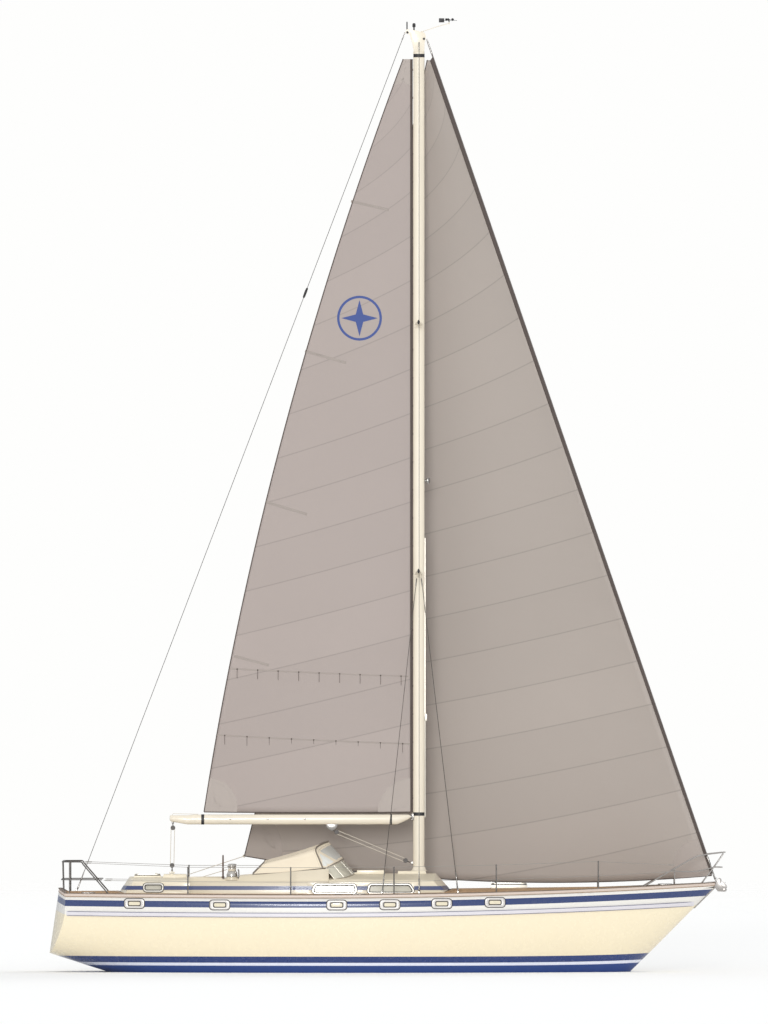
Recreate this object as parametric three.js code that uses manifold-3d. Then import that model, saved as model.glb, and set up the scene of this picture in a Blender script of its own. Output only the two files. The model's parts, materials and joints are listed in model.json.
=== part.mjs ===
// A 12.5 m centre-cockpit cruising sloop, afloat, with mainsail and genoa set.
// Millimetres. +X forward, +Y to port, +Z up. The origin is amidships on the waterline.
import * as THREE from "three";
import { mergeVertices } from "three/addons/utils/BufferGeometryUtils.js";
import Module from "manifold-3d";

const wasm = await Module();
wasm.setup();

// ---------------------------------------------------------------- driving dimensions
const GAP = 0.4; // between pieces that touch
const BOW_X = 6500; // stem head
const STERN_X = -5987; // lowest point of the transom
const FORE_WATERLINE_X = 4891; // the stem meets the water here, raked at 45 degrees
const HALF_BEAM = 1950;
const BEAM_X = -400; // station of greatest beam
const TRANSOM_HALF_BEAM = 1180;
const DRAFT = 1850;
const SHEER_LOW = 1395; // lowest deck edge above the water
const SHEER_LOW_X = -1300;
const DECK_THICKNESS = 32;
const SIDE_DECK = 620; // from the deck edge to the deckhouse side
const WALL = 30; // thickness of the deckhouse mouldings
const MAST_X = 937;
const MAST_FOOT_Z = 1889;
const MAST_TOP_Z = 17240;
const MAST_HALF_LENGTH = 103;
const MAST_HALF_WIDTH = 65;
const GOOSENECK_X = 800;
const LOWER_SPREADER = { z: 7507, reach: 1150 };
const UPPER_SPREADER = { z: 12165, reach: 760 };
const CHAINPLATE_Y = 1400;
const TUBE = 12.5; // radius of rails and stanchions
const COCKPIT_AFT_X = -3355;
const COCKPIT_FORE_X = -752;
const RUDDER_STOCK_X = -4350;
const SHAFT_SLOPE = Math.tan((8 * Math.PI) / 180);
const PROPELLER_AT = { x: -3350, z: -760 };
const ABOVE = 2000; // higher than the decks and the cabin tops, for cuts that are open upward
const SPAN = 1600; // wider than the deckhouse, each side of the middle

// ---------------------------------------------------------------- building blocks
const point = (x, y, z) => new THREE.Vector3(x, y, z);
const mix = (a, b, t) => a + (b - a) * t;
const steps = (from, to, count) => Array.from({ length: count + 1 }, (_, i) => mix(from, to, i / count));

// A smooth height through a list of [place, height] knots, which never overshoots them.
function through(knots) {
  const slope = knots.slice(1).map(([x, z], i) => (z - knots[i][1]) / (x - knots[i][0]));
  const tangent = knots.map((_, i) => {
    const before = slope[Math.max(0, i - 1)];
    const after = slope[Math.min(slope.length - 1, i)];
    return before * after <= 0 ? 0 : (2 * before * after) / (before + after);
  });
  return (x) => {
    let i = 0;
    while (i < knots.length - 2 && x > knots[i + 1][0]) i++;
    const [x0, z0] = knots[i];
    const [x1, z1] = knots[i + 1];
    const h = x1 - x0;
    const t = (x - x0) / h;
    const bend = t * t * (3 - 2 * t);
    return mix(z0, z1, bend) + h * t * (1 - t) * ((1 - t) * tangent[i] - t * tangent[i + 1]);
  };
}

function solidOf(positions, triangles) {
  const build = (order) => new wasm.Manifold(new wasm.Mesh({
    numProp: 3,
    vertProperties: new Float32Array(positions),
    triVerts: new Uint32Array(order),
  }));
  const made = build(triangles);
  return made.volume() < 0 ? build([...triangles].reverse()) : made;
}

function fromGeometry(geometry) {
  const bare = geometry.clone();
  bare.deleteAttribute("normal");
  bare.deleteAttribute("uv");
  const merged = mergeVertices(bare, 1e-3);
  return solidOf(merged.attributes.position.array, merged.index.array);
}

// The triangles that close a flat-ish ring, in the ring's own direction.
function capOf(ring) {
  const normal = point(0, 0, 0);
  ring.forEach((p, i) => normal.add(p.clone().cross(ring[(i + 1) % ring.length])));
  const size = [Math.abs(normal.x), Math.abs(normal.y), Math.abs(normal.z)];
  const drop = size.indexOf(Math.max(...size));
  const flat = ring.map((p) => {
    const c = p.toArray();
    c.splice(drop, 1);
    return new THREE.Vector2(c[0], c[1]);
  });
  let faces = THREE.ShapeUtils.triangulateShape(flat, []);
  if (faces.length !== ring.length - 2) faces = ring.slice(2).map((_, i) => [0, i + 1, i + 2]);
  const area = (loop) => Math.sign(THREE.ShapeUtils.area(loop));
  const turned = area(flat) !== area(faces[0].map((i) => flat[i]));
  return faces.map(([a, b, c]) => (turned ? [a, c, b] : [a, b, c]));
}

// A closed solid through rings of points, all with the same number of points.
function loft(rings) {
  const n = rings[0].length;
  const triangles = [];
  for (let i = 0; i < rings.length - 1; i++) {
    for (let j = 0; j < n; j++) {
      const [a, b] = [i * n + j, i * n + ((j + 1) % n)];
      triangles.push(a, b, b + n, a, b + n, a + n);
    }
  }
  const last = (rings.length - 1) * n;
  capOf(rings[0]).forEach(([a, b, c]) => triangles.push(a, c, b));
  capOf(rings[rings.length - 1]).forEach(([a, b, c]) => triangles.push(last + a, last + b, last + c));
  return solidOf(rings.flat().flatMap((p) => p.toArray()), triangles);
}

// A round bar along straight stretches, mitred at its corners. radius may differ at each point.
function bar(path, radius, sides = 8) {
  const radii = Array.isArray(radius) ? radius : path.map(() => radius);
  const along = path.slice(1).map((p, i) => p.clone().sub(path[i]).normalize());
  let across = point(0, 0, 1);
  if (Math.abs(along[0].z) > 0.8) across = point(0, 1, 0);
  return loft(path.map((p, i) => {
    const before = along[Math.max(0, i - 1)];
    const after = along[Math.min(along.length - 1, i)];
    const forward = before.clone().add(after).normalize();
    across = across.clone().addScaledVector(forward, -across.dot(forward)).normalize();
    const third = forward.clone().cross(across);
    const stretch = 1 / Math.max(0.5, before.dot(forward));
    const outward = after.clone().sub(before);
    if (outward.lengthSq() > 1e-9) outward.normalize();
    return steps(0, 2 * Math.PI, sides).slice(0, sides).map((angle) => {
      const arm = across.clone().multiplyScalar(Math.cos(angle)).addScaledVector(third, Math.sin(angle));
      arm.addScaledVector(outward, (stretch - 1) * arm.dot(outward));
      return p.clone().addScaledVector(arm, radii[i]);
    });
  }));
}

const box = (x0, x1, y0, y1, z0, z1) => fromGeometry(
  new THREE.BoxGeometry(x1 - x0, y1 - y0, z1 - z0).translate((x0 + x1) / 2, (y0 + y1) / 2, (z0 + z1) / 2),
);
const slabXZ = (outline, y0, y1) => loft([y0, y1].map((y) => outline.map(([x, z]) => point(x, y, z))));
const slabXY = (outline, z0, z1) => loft([z0, z1].map((z) => outline.map(([x, y]) => point(x, y, z))));
const join = (solids) => solids.reduce((a, b) => a.add(b));
const cut = (solid, ...tools) => tools.reduce((a, b) => a.subtract(b), solid);
const mirror = (solid) => solid.mirror([0, 1, 0]);

// A thin skin through a grid of points, thick on its inner side by a share and on its outer side by the rest.
function skin(grid, thickness, innerShare = 0.5) {
  const rows = grid.length;
  const columns = grid[0].length;
  const normalAt = (i, j) => {
    const down = grid[Math.min(rows - 1, i + 1)][j].clone().sub(grid[Math.max(0, i - 1)][j]);
    const over = grid[i][Math.min(columns - 1, j + 1)].clone().sub(grid[i][Math.max(0, j - 1)]);
    return down.cross(over).normalize();
  };
  const side = (offset) =>
    grid.map((row, i) => row.map((p, j) => p.clone().addScaledVector(normalAt(i, j), offset)));
  const outer = side(thickness * (1 - innerShare));
  const inner = side(-thickness * innerShare);
  const rings = outer.map((row, i) => [...row, ...[...inner[i]].reverse()]);
  return loftSkin(rings, columns);
}

// Like loft, but the end rings are long thin strips, so they are closed with matched pairs of points.
function loftSkin(rings, columns) {
  const n = rings[0].length;
  const triangles = [];
  for (let i = 0; i < rings.length - 1; i++) {
    for (let j = 0; j < n; j++) {
      const [a, b] = [i * n + j, i * n + ((j + 1) % n)];
      triangles.push(a, b, b + n, a, b + n, a + n);
    }
  }
  for (const [start, flip] of [[0, true], [(rings.length - 1) * n, false]]) {
    for (let j = 0; j < columns - 1; j++) {
      const [a, b, c, d] = [start + j, start + j + 1, start + n - 2 - j, start + n - 1 - j];
      triangles.push(...(flip ? [a, c, b, a, d, c] : [a, b, c, a, c, d]));
    }
  }
  return solidOf(rings.flat().flatMap((p) => p.toArray()), triangles);
}

// An outline with its corners rounded.
function rounded(outline, radius, parts = 3) {
  return outline.flatMap((corner, i) => {
    const here = new THREE.Vector2(...corner);
    const before = outline[(i + outline.length - 1) % outline.length];
    const after = outline[(i + 1) % outline.length];
    const towards = (c) => here.clone().add(new THREE.Vector2(...c).sub(here).setLength(radius));
    const curve = new THREE.QuadraticBezierCurve(towards(before), here, towards(after));
    return curve.getPoints(parts).map((p) => [p.x, p.y]);
  });
}

// ---------------------------------------------------------------- the hull's form
const SHEER_RISE = { fore: 3.47e-6, aft: 1.2e-6 };
const sheer = (x) => {
  const rise = x > SHEER_LOW_X ? SHEER_RISE.fore : SHEER_RISE.aft;
  return SHEER_LOW + rise * (x - SHEER_LOW_X) ** 2;
};
const BOW_FULLNESS = 2.2;
const BOW_ROUND = 60; // the deck's outline would close this far ahead of the stem
const TRANSOM_DECK_X = -5684; // the deck edge meets the transom here
const halfBeam = (x) =>
  x > BEAM_X
    ? HALF_BEAM * (1 - ((x - BEAM_X) / (BOW_X + BOW_ROUND - BEAM_X)) ** BOW_FULLNESS)
    : HALF_BEAM - (HALF_BEAM - TRANSOM_HALF_BEAM) * ((BEAM_X - x) / (BEAM_X - TRANSOM_DECK_X)) ** 2;
const STERN_Z = 349; // height of the transom's lowest point
const bottomLine = through([
  [-6300, 449], [STERN_X, STERN_Z], [-4891, 0], [-3900, -285], [-2600, -510], [-1200, -632], [200, -660],
  [1600, -628], [2900, -535], [3900, -405], [4450, -285], [4740, -140], [FORE_WATERLINE_X, 0], [BOW_X, 1609],
]);
const sectionPower = (x) => 2.5 - 1.15 * Math.max(0, x / BOW_X) ** 1.5;
const CAMBER = 0.07; // rise of the deck's middle, as a share of the half beam
const deckTop = (x, y) => sheer(x) + CAMBER * halfBeam(x) * (1 - (y / halfBeam(x)) ** 2);

// A point of the hull's skin. turn is 0 at the keel line and 90 at the deck edge, where a ceiling stops it.
function skinPoint(x, turn, side, ceiling) {
  const power = 2 / sectionPower(x);
  const angle = THREE.MathUtils.degToRad(turn);
  const bottom = Math.min(bottomLine(x), ceiling - 5);
  const y = halfBeam(x) * Math.sin(angle) ** power;
  const z = sheer(x) - (sheer(x) - bottom) * Math.cos(angle) ** power;
  return point(x, side * y, turn === 90 ? ceiling : Math.min(ceiling - 1, z));
}

const STATIONS = [
  ...steps(-6150, -4900, 4), ...steps(-4400, 4000, 14), ...steps(4450, 6250, 5), 6420, BOW_X,
];
const TURNS = steps(0, 90, 10);
const ACROSS = steps(1, -1, 8); // shares of the half beam, port to starboard

// Everything between the hull's bottom and a surface parallel to the deck.
function bodyUnder(dropFromDeck) {
  return loft(STATIONS.map((x) => {
    const ceiling = sheer(x) - dropFromDeck;
    const across = ACROSS.slice(1, -1).map((share) => share * halfBeam(x));
    return [
      ...TURNS.map((turn) => skinPoint(x, turn, -1, ceiling)).reverse(),
      ...TURNS.slice(1).map((turn) => skinPoint(x, turn, 1, ceiling)),
      ...across.map((y) => point(x, y, deckTop(x, y) - dropFromDeck)),
    ];
  }));
}

// All space on the farX side of a curved wall: x = x0 + lean (z - z0) + bow(z) y^2.
const BELOW_KEEL = -2600;
const OVER_DECK = 3000;
const FAR = 9000;
const WIDE = 2300;
function spaceBeyond(x0, z0, lean, bow, farX, levels = [BELOW_KEEL, OVER_DECK]) {
  return loft(levels.map((z) => [
    ...steps(-WIDE, WIDE, 16).map((y) => point(x0 + lean * (z - z0) + bow(z) * y * y, y, z)),
    point(farX, WIDE, z),
    point(farX, -WIDE, z),
  ]));
}
const stemX = (z) => FORE_WATERLINE_X + z;
const beyondStem = slabXZ([[stemX(500), 500], [stemX(2100), 2100], [stemX(2100), 500]], -600, 600);

// The transom leans forward and is rounded in plan, less so above a knuckle.
const TRANSOM = { lean: 0.1493, low: 1.4e-4, high: 0.98e-4, knuckle: 1090, top: 1460 };
const transomBow = (z) => {
  const share = Math.min(1, (z - TRANSOM.knuckle) / (TRANSOM.top - TRANSOM.knuckle));
  return z < TRANSOM.knuckle ? TRANSOM.low : mix(TRANSOM.low, TRANSOM.high, share);
};
const aheadOfTransom = spaceBeyond(STERN_X, STERN_Z, TRANSOM.lean, transomBow, FAR,
  [BELOW_KEEL, TRANSOM.knuckle, TRANSOM.top, OVER_DECK]);

// ---------------------------------------------------------------- the deckhouse's form
const SIDE_LEAN = 0.12;
const SIDE_FOOT_Z = 1480; // where the side stands at its full width
const houseHalfWidth = (x) => halfBeam(x) - SIDE_DECK;
const sideAt = (x, z) => houseHalfWidth(x) - SIDE_LEAN * (z - SIDE_FOOT_Z);

// The moulding between two stations: sides that lean in to the edge, and a roof crowned to its middle.
const SHOULDER = 22; // depth of the rounding from side to roof
const SKIRT = 220; // how far below the shoulder the side still leans
function house(x0, x1, edge, crown, inset = 0) {
  return loft(steps(x0, x1, 6).map((x) => {
    const shoulder = sideAt(x, edge) - inset;
    const roof = steps(0.97, -0.97, 10).map((share) =>
      point(x, share * shoulder, edge - inset + (crown - edge) * (1 - share * share)),
    );
    return [
      point(x, shoulder + SIDE_LEAN * SKIRT, edge - inset - SKIRT - 200),
      point(x, shoulder, edge - inset - SHOULDER),
      ...roof,
      point(x, -shoulder, edge - inset - SHOULDER),
      point(x, -shoulder - SIDE_LEAN * SKIRT, edge - inset - SKIRT - 200),
    ];
  }));
}
const COACHROOF = { edge: 1717, crown: 1842 };
const AFT_ROOF = { edge: 1702, crown: 1782 };
const coachroofForm = (inset) =>
  house(COCKPIT_FORE_X + 2 + inset, 1700, COACHROOF.edge, COACHROOF.crown, inset).intersect(
    spaceBeyond(1555 - inset, 1500, -0.877, () => -1.1e-4, -FAR),
  );
const aftRoofForm = (inset) =>
  house(-4800, COCKPIT_AFT_X - 2 - inset, AFT_ROOF.edge, AFT_ROOF.crown, inset).intersect(
    spaceBeyond(-4666 + inset, 1510, 0.67, () => 1.76e-4, FAR),
  );
const underDeckSurface = bodyUnder(-GAP);

// ---------------------------------------------------------------- hull, deck, keel
const SALOON = { x0: -600, x1: 1400, half: 1120, berth: 300, soleHalf: 450, sole: -150 };
const AFT_CABIN = { x0: -4450, x1: -3500, half: 720, berth: 650, soleHalf: 350, sole: 250 };
const FORECABIN = { x0: 2330, x1: 2920, half: 250, sole: 600 };
const COMPANIONWAY_HALF = 300;
const cabinSpace = (room) => [
  box(room.x0, room.x1, -room.half, room.half, room.berth, ABOVE),
  box(room.x0, room.x1, -room.soleHalf, room.soleHalf, room.sole, ABOVE),
];
const TUB = { half: 1000, bottom: 800, wellHalf: 430, wellBottom: 675 };
const ENGINE = { x0: -1700, x1: -760, half: 260, z0: -130, z1: 560 };
const ENGINE_ROOM = { x0: ENGINE.x0 - 100, half: ENGINE.half + 90, z0: ENGINE.z0 - GAP, z1: 640 };
const COMPANIONWAY_SILL = 1150;

const shaftPoint = (x) => point(x, 0, PROPELLER_AT.z + (x - PROPELLER_AT.x) * SHAFT_SLOPE);
function hullSolid() {
  return cut(
    bodyUnder(DECK_THICKNESS).intersect(aheadOfTransom),
    beyondStem,
    ...cabinSpace(SALOON),
    ...cabinSpace(AFT_CABIN),
    box(FORECABIN.x0, FORECABIN.x1, -FORECABIN.half, FORECABIN.half, FORECABIN.sole, ABOVE),
    ...[[TUB.half, TUB.bottom], [TUB.wellHalf, TUB.wellBottom]].map(([half, bottom]) =>
      box(COCKPIT_AFT_X - 1, COCKPIT_FORE_X + 1, -half - 1, half + 1, bottom - GAP, ABOVE)),
    box(COCKPIT_FORE_X - 5, SALOON.x0 + 5, -COMPANIONWAY_HALF, COMPANIONWAY_HALF, COMPANIONWAY_SILL, ABOVE),
    box(ENGINE_ROOM.x0, SALOON.x0 + 5, -ENGINE_ROOM.half, ENGINE_ROOM.half, ENGINE_ROOM.z0, ENGINE_ROOM.z1),
    bar([shaftPoint(-2600), shaftPoint(-1500)], 26, 16),
    bar([point(RUDDER_STOCK_X, 0, -400), point(RUDDER_STOCK_X, 0, 200)], 34, 16),
  );
}

const HOUSE_OPENING = { x0: -4480, x1: 1330 };
const houseOpening = slabXY(
  [
    ...steps(HOUSE_OPENING.x0, HOUSE_OPENING.x1, 14).map((x) => [x, houseHalfWidth(x) - 2 * WALL]),
    ...steps(HOUSE_OPENING.x1, HOUSE_OPENING.x0, 14).map((x) => [x, 2 * WALL - houseHalfWidth(x)]),
  ],
  1000,
  ABOVE,
);
function deckSolid() {
  const slab = loftSkin(STATIONS.map((x) => {
    const top = ACROSS.map((share) => share * halfBeam(x));
    return [
      ...top.map((y) => point(x, y, deckTop(x, y))),
      ...[...top].reverse().map((y) => point(x, y, deckTop(x, y) - DECK_THICKNESS + GAP)),
    ];
  }), ACROSS.length);
  const forehatch = box(FORECABIN.x0, FORECABIN.x1, -FORECABIN.half, FORECABIN.half, 1000, ABOVE);
  return cut(slab.intersect(aheadOfTransom), beyondStem, houseOpening, forehatch);
}

// A symmetric foil outline with its nose at x0 and its tail at x1.
function foil(x0, x1, halfThickness, z) {
  const side = steps(0, 1, 9).map((t) => [t * t, Math.sqrt(t * t) * (1 - t * t) * 2.6 + 0.02]);
  const upper = side.map(([t, h]) => point(mix(x0, x1, t), halfThickness * h, z));
  const lower = side.slice(1, -1).reverse().map(([t, h]) => point(mix(x0, x1, t), -halfThickness * h, z));
  const blunt = halfThickness * 0.02;
  return [point(x0, blunt, z), ...upper.slice(1), point(x1, -blunt, z), ...lower, point(x0, -blunt, z)];
}
const hullBelow = bodyUnder(DECK_THICKNESS).translate([0, 0, -GAP]);
const keelSolid = () => cut(
  loft([foil(1450, -1300, 150, -300), foil(1350, -1300, 150, -700), foil(900, -1100, 170, -DRAFT)]),
  hullBelow,
);
const SKEG_AFT_X = RUDDER_STOCK_X + 55;
const skegLayer = (foreX, aftHalf, z) =>
  [[foreX, 4], [SKEG_AFT_X, aftHalf], [SKEG_AFT_X, -aftHalf], [foreX, -4]].map(([x, y]) => point(x, y, z));
const skegSolid = () => cut(loft([skegLayer(-3550, 45, 0), skegLayer(-4020, 28, -1400)]), hullBelow);
function rudderSolid() {
  const noseX = RUDDER_STOCK_X + 42;
  const blade = loft([
    foil(noseX, -5010, 48, -190), foil(noseX, -5010, 48, -600), foil(noseX, -4880, 34, -1440),
  ]);
  const stock = bar([point(RUDDER_STOCK_X, 0, -300), point(RUDDER_STOCK_X, 0, 180)], 28, 16);
  return cut(blade, hullBelow.translate([0, 0, -12])).add(stock);
}
function propellerSolid() {
  const blade = fromGeometry(new THREE.SphereGeometry(1, 12, 8).scale(9, 62, 105).translate(0, 0, 125));
  const along = THREE.MathUtils.radToDeg(Math.atan(SHAFT_SLOPE));
  const turning = join([
    ...[0, 120, 240].map((angle) => blade.rotate([0, 0, 32]).rotate([angle, 0, 0])),
    bar([point(-70, 0, 0), point(-40, 0, 0), point(45, 0, 0)], [16, 38, 38], 12),
    bar([point(40, 0, 0), point(1650, 0, 0)], 17, 12),
  ]);
  return turning.rotate([0, -along, 0]).translate([PROPELLER_AT.x, 0, PROPELLER_AT.z]);
}
function bracketSolid() {
  const [aft, fore] = [shaftPoint(-3230), shaftPoint(-3090)];
  const strut = loft([
    foil(-3090, -3220, 12, -735), foil(-3060, -3220, 14, -300),
  ]);
  return cut(
    cut(strut, hullBelow).add(bar([aft, fore], 38, 16)),
    bar([shaftPoint(-3260), shaftPoint(-3060)], 20.5, 16),
  );
}

// ---------------------------------------------------------------- edge of the deck
const TOE_RAIL = { width: 48, height: 72 };
function toeRailSolid() {
  const ring = (x, side) => {
    const [outer, inner] = [halfBeam(x), Math.max(1, halfBeam(x) - TOE_RAIL.width)];
    return [
      point(x, side * outer, sheer(x) + GAP),
      point(x, side * outer, sheer(x) + TOE_RAIL.height),
      point(x, side * inner, sheer(x) + TOE_RAIL.height),
      point(x, side * inner, deckTop(x, inner) + GAP),
    ];
  };
  const side = (sign) => loft(STATIONS.map((x) => ring(x, sign)));
  const stern = cut(
    bodyUnder(-TOE_RAIL.height - 4).intersect(box(-6200, -5400, -1500, 1500, 1300, 1700)),
    aheadOfTransom.translate([50, 0, 0]),
    underDeckSurface,
  );
  const noseX = 6380;
  const noseOutline = [[noseX, 70], [BOW_X + 30, 28], [BOW_X + 30, -28], [noseX, -70]];
  const nose = cut(slabXY(noseOutline, sheer(noseX) - 2, sheer(BOW_X) + TOE_RAIL.height), underDeckSurface);
  const deck = deckSolid();
  return cut(
    join([side(1), side(-1), stern, nose]).intersect(aheadOfTransom),
    deck.translate([0, 0, GAP]),
    deck.translate([1, 0, GAP]),
    deck.translate([1, 0, 0]),
  );
}
const STRAKE = { top: 270, bottom: 358, proud: 22 };
function strakeSolid(side) {
  const rows = [...steps(-5560, 5600, 24), 5850, 6050];
  const outward = (x, drop, proud) => {
    const power = sectionPower(x);
    const share = drop / (sheer(x) - bottomLine(x));
    const y = halfBeam(x) * Math.max(0, 1 - share ** power) ** (1 / power);
    return point(x, side * (y + proud), sheer(x) - drop);
  };
  return loft(rows.map((x) => [
    outward(x, STRAKE.top, -14),
    outward(x, STRAKE.top + 12, STRAKE.proud),
    outward(x, STRAKE.bottom - 12, STRAKE.proud),
    outward(x, STRAKE.bottom, -14),
  ]));
}

// ---------------------------------------------------------------- deckhouse mouldings
const inX = (x0, x1, z0, z1, slantAft, slantFore) => [
  [x0, z0], [x1, z0], [x1 + slantFore, z1], [x0 + slantAft, z1],
];
const WINDOWS = {
  saloon_window_aft: rounded(inX(-1065, -240, 1494, 1640, 70, -30), 55),
  saloon_window_fore: rounded(inX(-20, 860, 1494, 1640, 40, -110), 55),
};
const AFT_WINDOW = rounded(inX(-4200, -3870, 1530, 1645, 0, 0), 45);
const shrink = (outline, by) => {
  const xs = outline.map((p) => p[0]);
  const zs = outline.map((p) => p[1]);
  const [cx, cz] = [(Math.min(...xs) + Math.max(...xs)) / 2, (Math.min(...zs) + Math.max(...zs)) / 2];
  const [hx, hz] = [Math.max(...xs) - cx, Math.max(...zs) - cz];
  return outline.map(([x, z]) => [cx + (x - cx) * (1 - by / hx), cz + (z - cz) * (1 - by / hz)]);
};
const cutThrough = (outline) => slabXZ(outline, -SPAN, SPAN);

// What lies between two depths inside the deckhouse's side, which it follows.
const sideLayer = (from, to, x0, x1, side) => loft(steps(x0, x1, 5).map((x) =>
  [[1450, from], [1450, to], [1700, to], [1700, from]].map(([z, depth]) =>
    point(x, side * (sideAt(x, z) - depth), z)),
));
const PANE = { depth: 8, thickness: 8, clearance: 2 };
const pane = (outline, side) => {
  const xs = outline.map(([x]) => x);
  const [x0, x1] = [Math.min(...xs) - 20, Math.max(...xs) + 20];
  const layer = sideLayer(PANE.depth, PANE.depth + PANE.thickness, x0, x1, side);
  return layer.intersect(cutThrough(shrink(outline, PANE.clearance)));
};

const HATCH = { x0: -738, x1: -262, half: 330, z0: 1850, z1: 1880 };
const AFT_HATCH = { x0: -4400, x1: -3900, half: 290 };
const HATCH_RIM = 40; // width of a hatch frame's rim
function coachroofSolid() {
  return cut(
    coachroofForm(0).add(plinthSolid()),
    coachroofForm(WALL),
    underDeckSurface,
    ...Object.values(WINDOWS).map(cutThrough),
    box(-800, HATCH.x1 - 20, -COMPANIONWAY_HALF, COMPANIONWAY_HALF, COMPANIONWAY_SILL, ABOVE),
  );
}
function aftRoofSolid() {
  const moulding = cut(
    aftRoofForm(0),
    aftRoofForm(WALL),
    underDeckSurface,
    cutThrough(AFT_WINDOW),
    insideRim(AFT_HATCH, 1600, ABOVE),
  );
  return moulding.add(frame(AFT_HATCH, aftRoofForm(3), 1720, 1802));
}

// The cockpit moulding: coamings, seats, foot well and the ledge round them.
const SEAT_Z = 1150;
const SOLE_Z = 700;
const LEDGE_Z = COACHROOF.edge;
const COAMING_LINE = [
  [COCKPIT_AFT_X, 1770], [-2760, 1770], [-2740, 1743], [-2440, 1743], [-2420, 1800], [-1650, 1866],
  [-868, 1934], [COCKPIT_FORE_X, 1936],
];
const COAMING = { outer: 80, inner: 200 };
const LOCKER = { x0: -2250, x1: -1150, y0: 470, y1: 900, depth: 260, lid: 25 };
function cockpitSolid() {
  const ledge = loft(steps(COCKPIT_AFT_X, COCKPIT_FORE_X, 6).map((x) => {
    const [low, high] = [sideAt(x, 1300), sideAt(x, LEDGE_Z)];
    return [point(x, low, 1300), point(x, high, LEDGE_Z), point(x, -high, LEDGE_Z), point(x, -low, 1300)];
  }));
  const coaming = loft(COAMING_LINE.map(([x, top]) => {
    const wide = houseHalfWidth(x);
    return [
      point(x, wide - COAMING.outer, LEDGE_Z - 60),
      point(x, wide - COAMING.outer - 20, top),
      point(x, wide - COAMING.inner, top),
      point(x, wide - COAMING.inner, LEDGE_Z - 60),
    ];
  }));
  const foreEnd = COCKPIT_FORE_X + 10;
  const seatRoom = slabXY([[-3240, 840], [foreEnd, 1090], [foreEnd, -1090], [-3240, -840]], SEAT_Z, 2200);
  const tub = box(COCKPIT_AFT_X, COCKPIT_FORE_X, -TUB.half, TUB.half, TUB.bottom, LEDGE_Z);
  const well = box(COCKPIT_AFT_X, COCKPIT_FORE_X, -TUB.wellHalf, TUB.wellHalf, TUB.wellBottom, 1000);
  const lockers = [1, -1].flatMap((side) => {
    const [y0, y1] = side > 0 ? [LOCKER.y0, LOCKER.y1] : [-LOCKER.y1, -LOCKER.y0];
    return [
      box(LOCKER.x0, LOCKER.x1, y0, y1, SEAT_Z - LOCKER.lid - 3, SEAT_Z + 10),
      box(LOCKER.x0 + 30, LOCKER.x1 - 30, y0 + 30, y1 - 30, SEAT_Z - LOCKER.depth, SEAT_Z),
    ];
  });
  return cut(
    join([cut(ledge, underDeckSurface), coaming, mirror(coaming), tub, well, winchBase(1), winchBase(-1)]),
    seatRoom,
    box(-2980, COCKPIT_FORE_X - 60, -400, 400, SOLE_Z, 2200),
    box(COCKPIT_FORE_X - 70, COCKPIT_FORE_X + 10, -COMPANIONWAY_HALF, COMPANIONWAY_HALF, SEAT_Z, 2200),
    ...[1, -1].map((side) =>
      sideLayer(-40, 17, -1150, COCKPIT_FORE_X + 10, side).intersect(cutThrough(WINDOWS.saloon_window_aft))),
    ...lockers,
  );
}
const lockerLid = (side) => {
  const [y0, y1] = side > 0 ? [LOCKER.y0, LOCKER.y1] : [-LOCKER.y1, -LOCKER.y0];
  return box(LOCKER.x0 + 6, LOCKER.x1 - 6, y0 + 6, y1 - 6, SEAT_Z - LOCKER.lid, SEAT_Z);
};

const coachroofClear = coachroofForm(-GAP);
const aftRoofClear = aftRoofForm(-GAP);
function garageSolid() {
  const rail = box(HATCH.x0 + 20, 100, 345, 375, 1750, 1862);
  const hood = cut(box(-225, 281, -385, 385, 1750, 1902), box(-300, 262, -368, 368, 1700, 1886));
  return cut(join([hood, rail, mirror(rail)]), coachroofClear);
}
const plinthSolid = () => loft([
  [point(525, 300, 1780), point(1090, 240, 1780), point(1090, -240, 1780), point(525, -300, 1780)],
  [point(545, 280, 1886), point(1060, 220, 1886), point(1060, -220, 1886), point(545, -280, 1886)],
]);
const insideRim = (h, z0, z1) =>
  box(h.x0 + HATCH_RIM, h.x1 - HATCH_RIM, -h.half + HATCH_RIM, h.half - HATCH_RIM, z0, z1);
const frame = (h, outside, z0, z1) => cut(
  box(h.x0, h.x1, -h.half, h.half, z0, z1),
  insideRim(h, z0 - 50, z1 + 50),
  outside,
);
const FOREHATCH = { x0: 2285, x1: 2965, half: 295 };
const lid = (h, z0, z1) => loft([[z0, 6], [z1, 18]].map(([z, inset]) => {
  const [x0, x1, y] = [h.x0 + inset, h.x1 - inset, h.half - inset];
  return rounded([[x0, y], [x1, y], [x1, -y], [x0, -y]], 60).map((corner) => point(...corner, z));
}));
function travellerSolid() {
  const base = loft([
    [point(-3880, 470, 1700), point(-3390, 470, 1700), point(-3390, -470, 1700), point(-3880, -470, 1700)],
    [point(-3845, 440, 1827), point(-3425, 440, 1827), point(-3425, -440, 1827), point(-3845, -440, 1827)],
  ]);
  return join([
    cut(base, aftRoofClear),
    box(-3712, -3672, -430, 430, 1820, 1848),
    box(-3742, -3642, -60, 60, 1840, 1868),
    box(-3704, -3680, -12, 12, 1860, 1892),
  ]);
}

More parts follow.
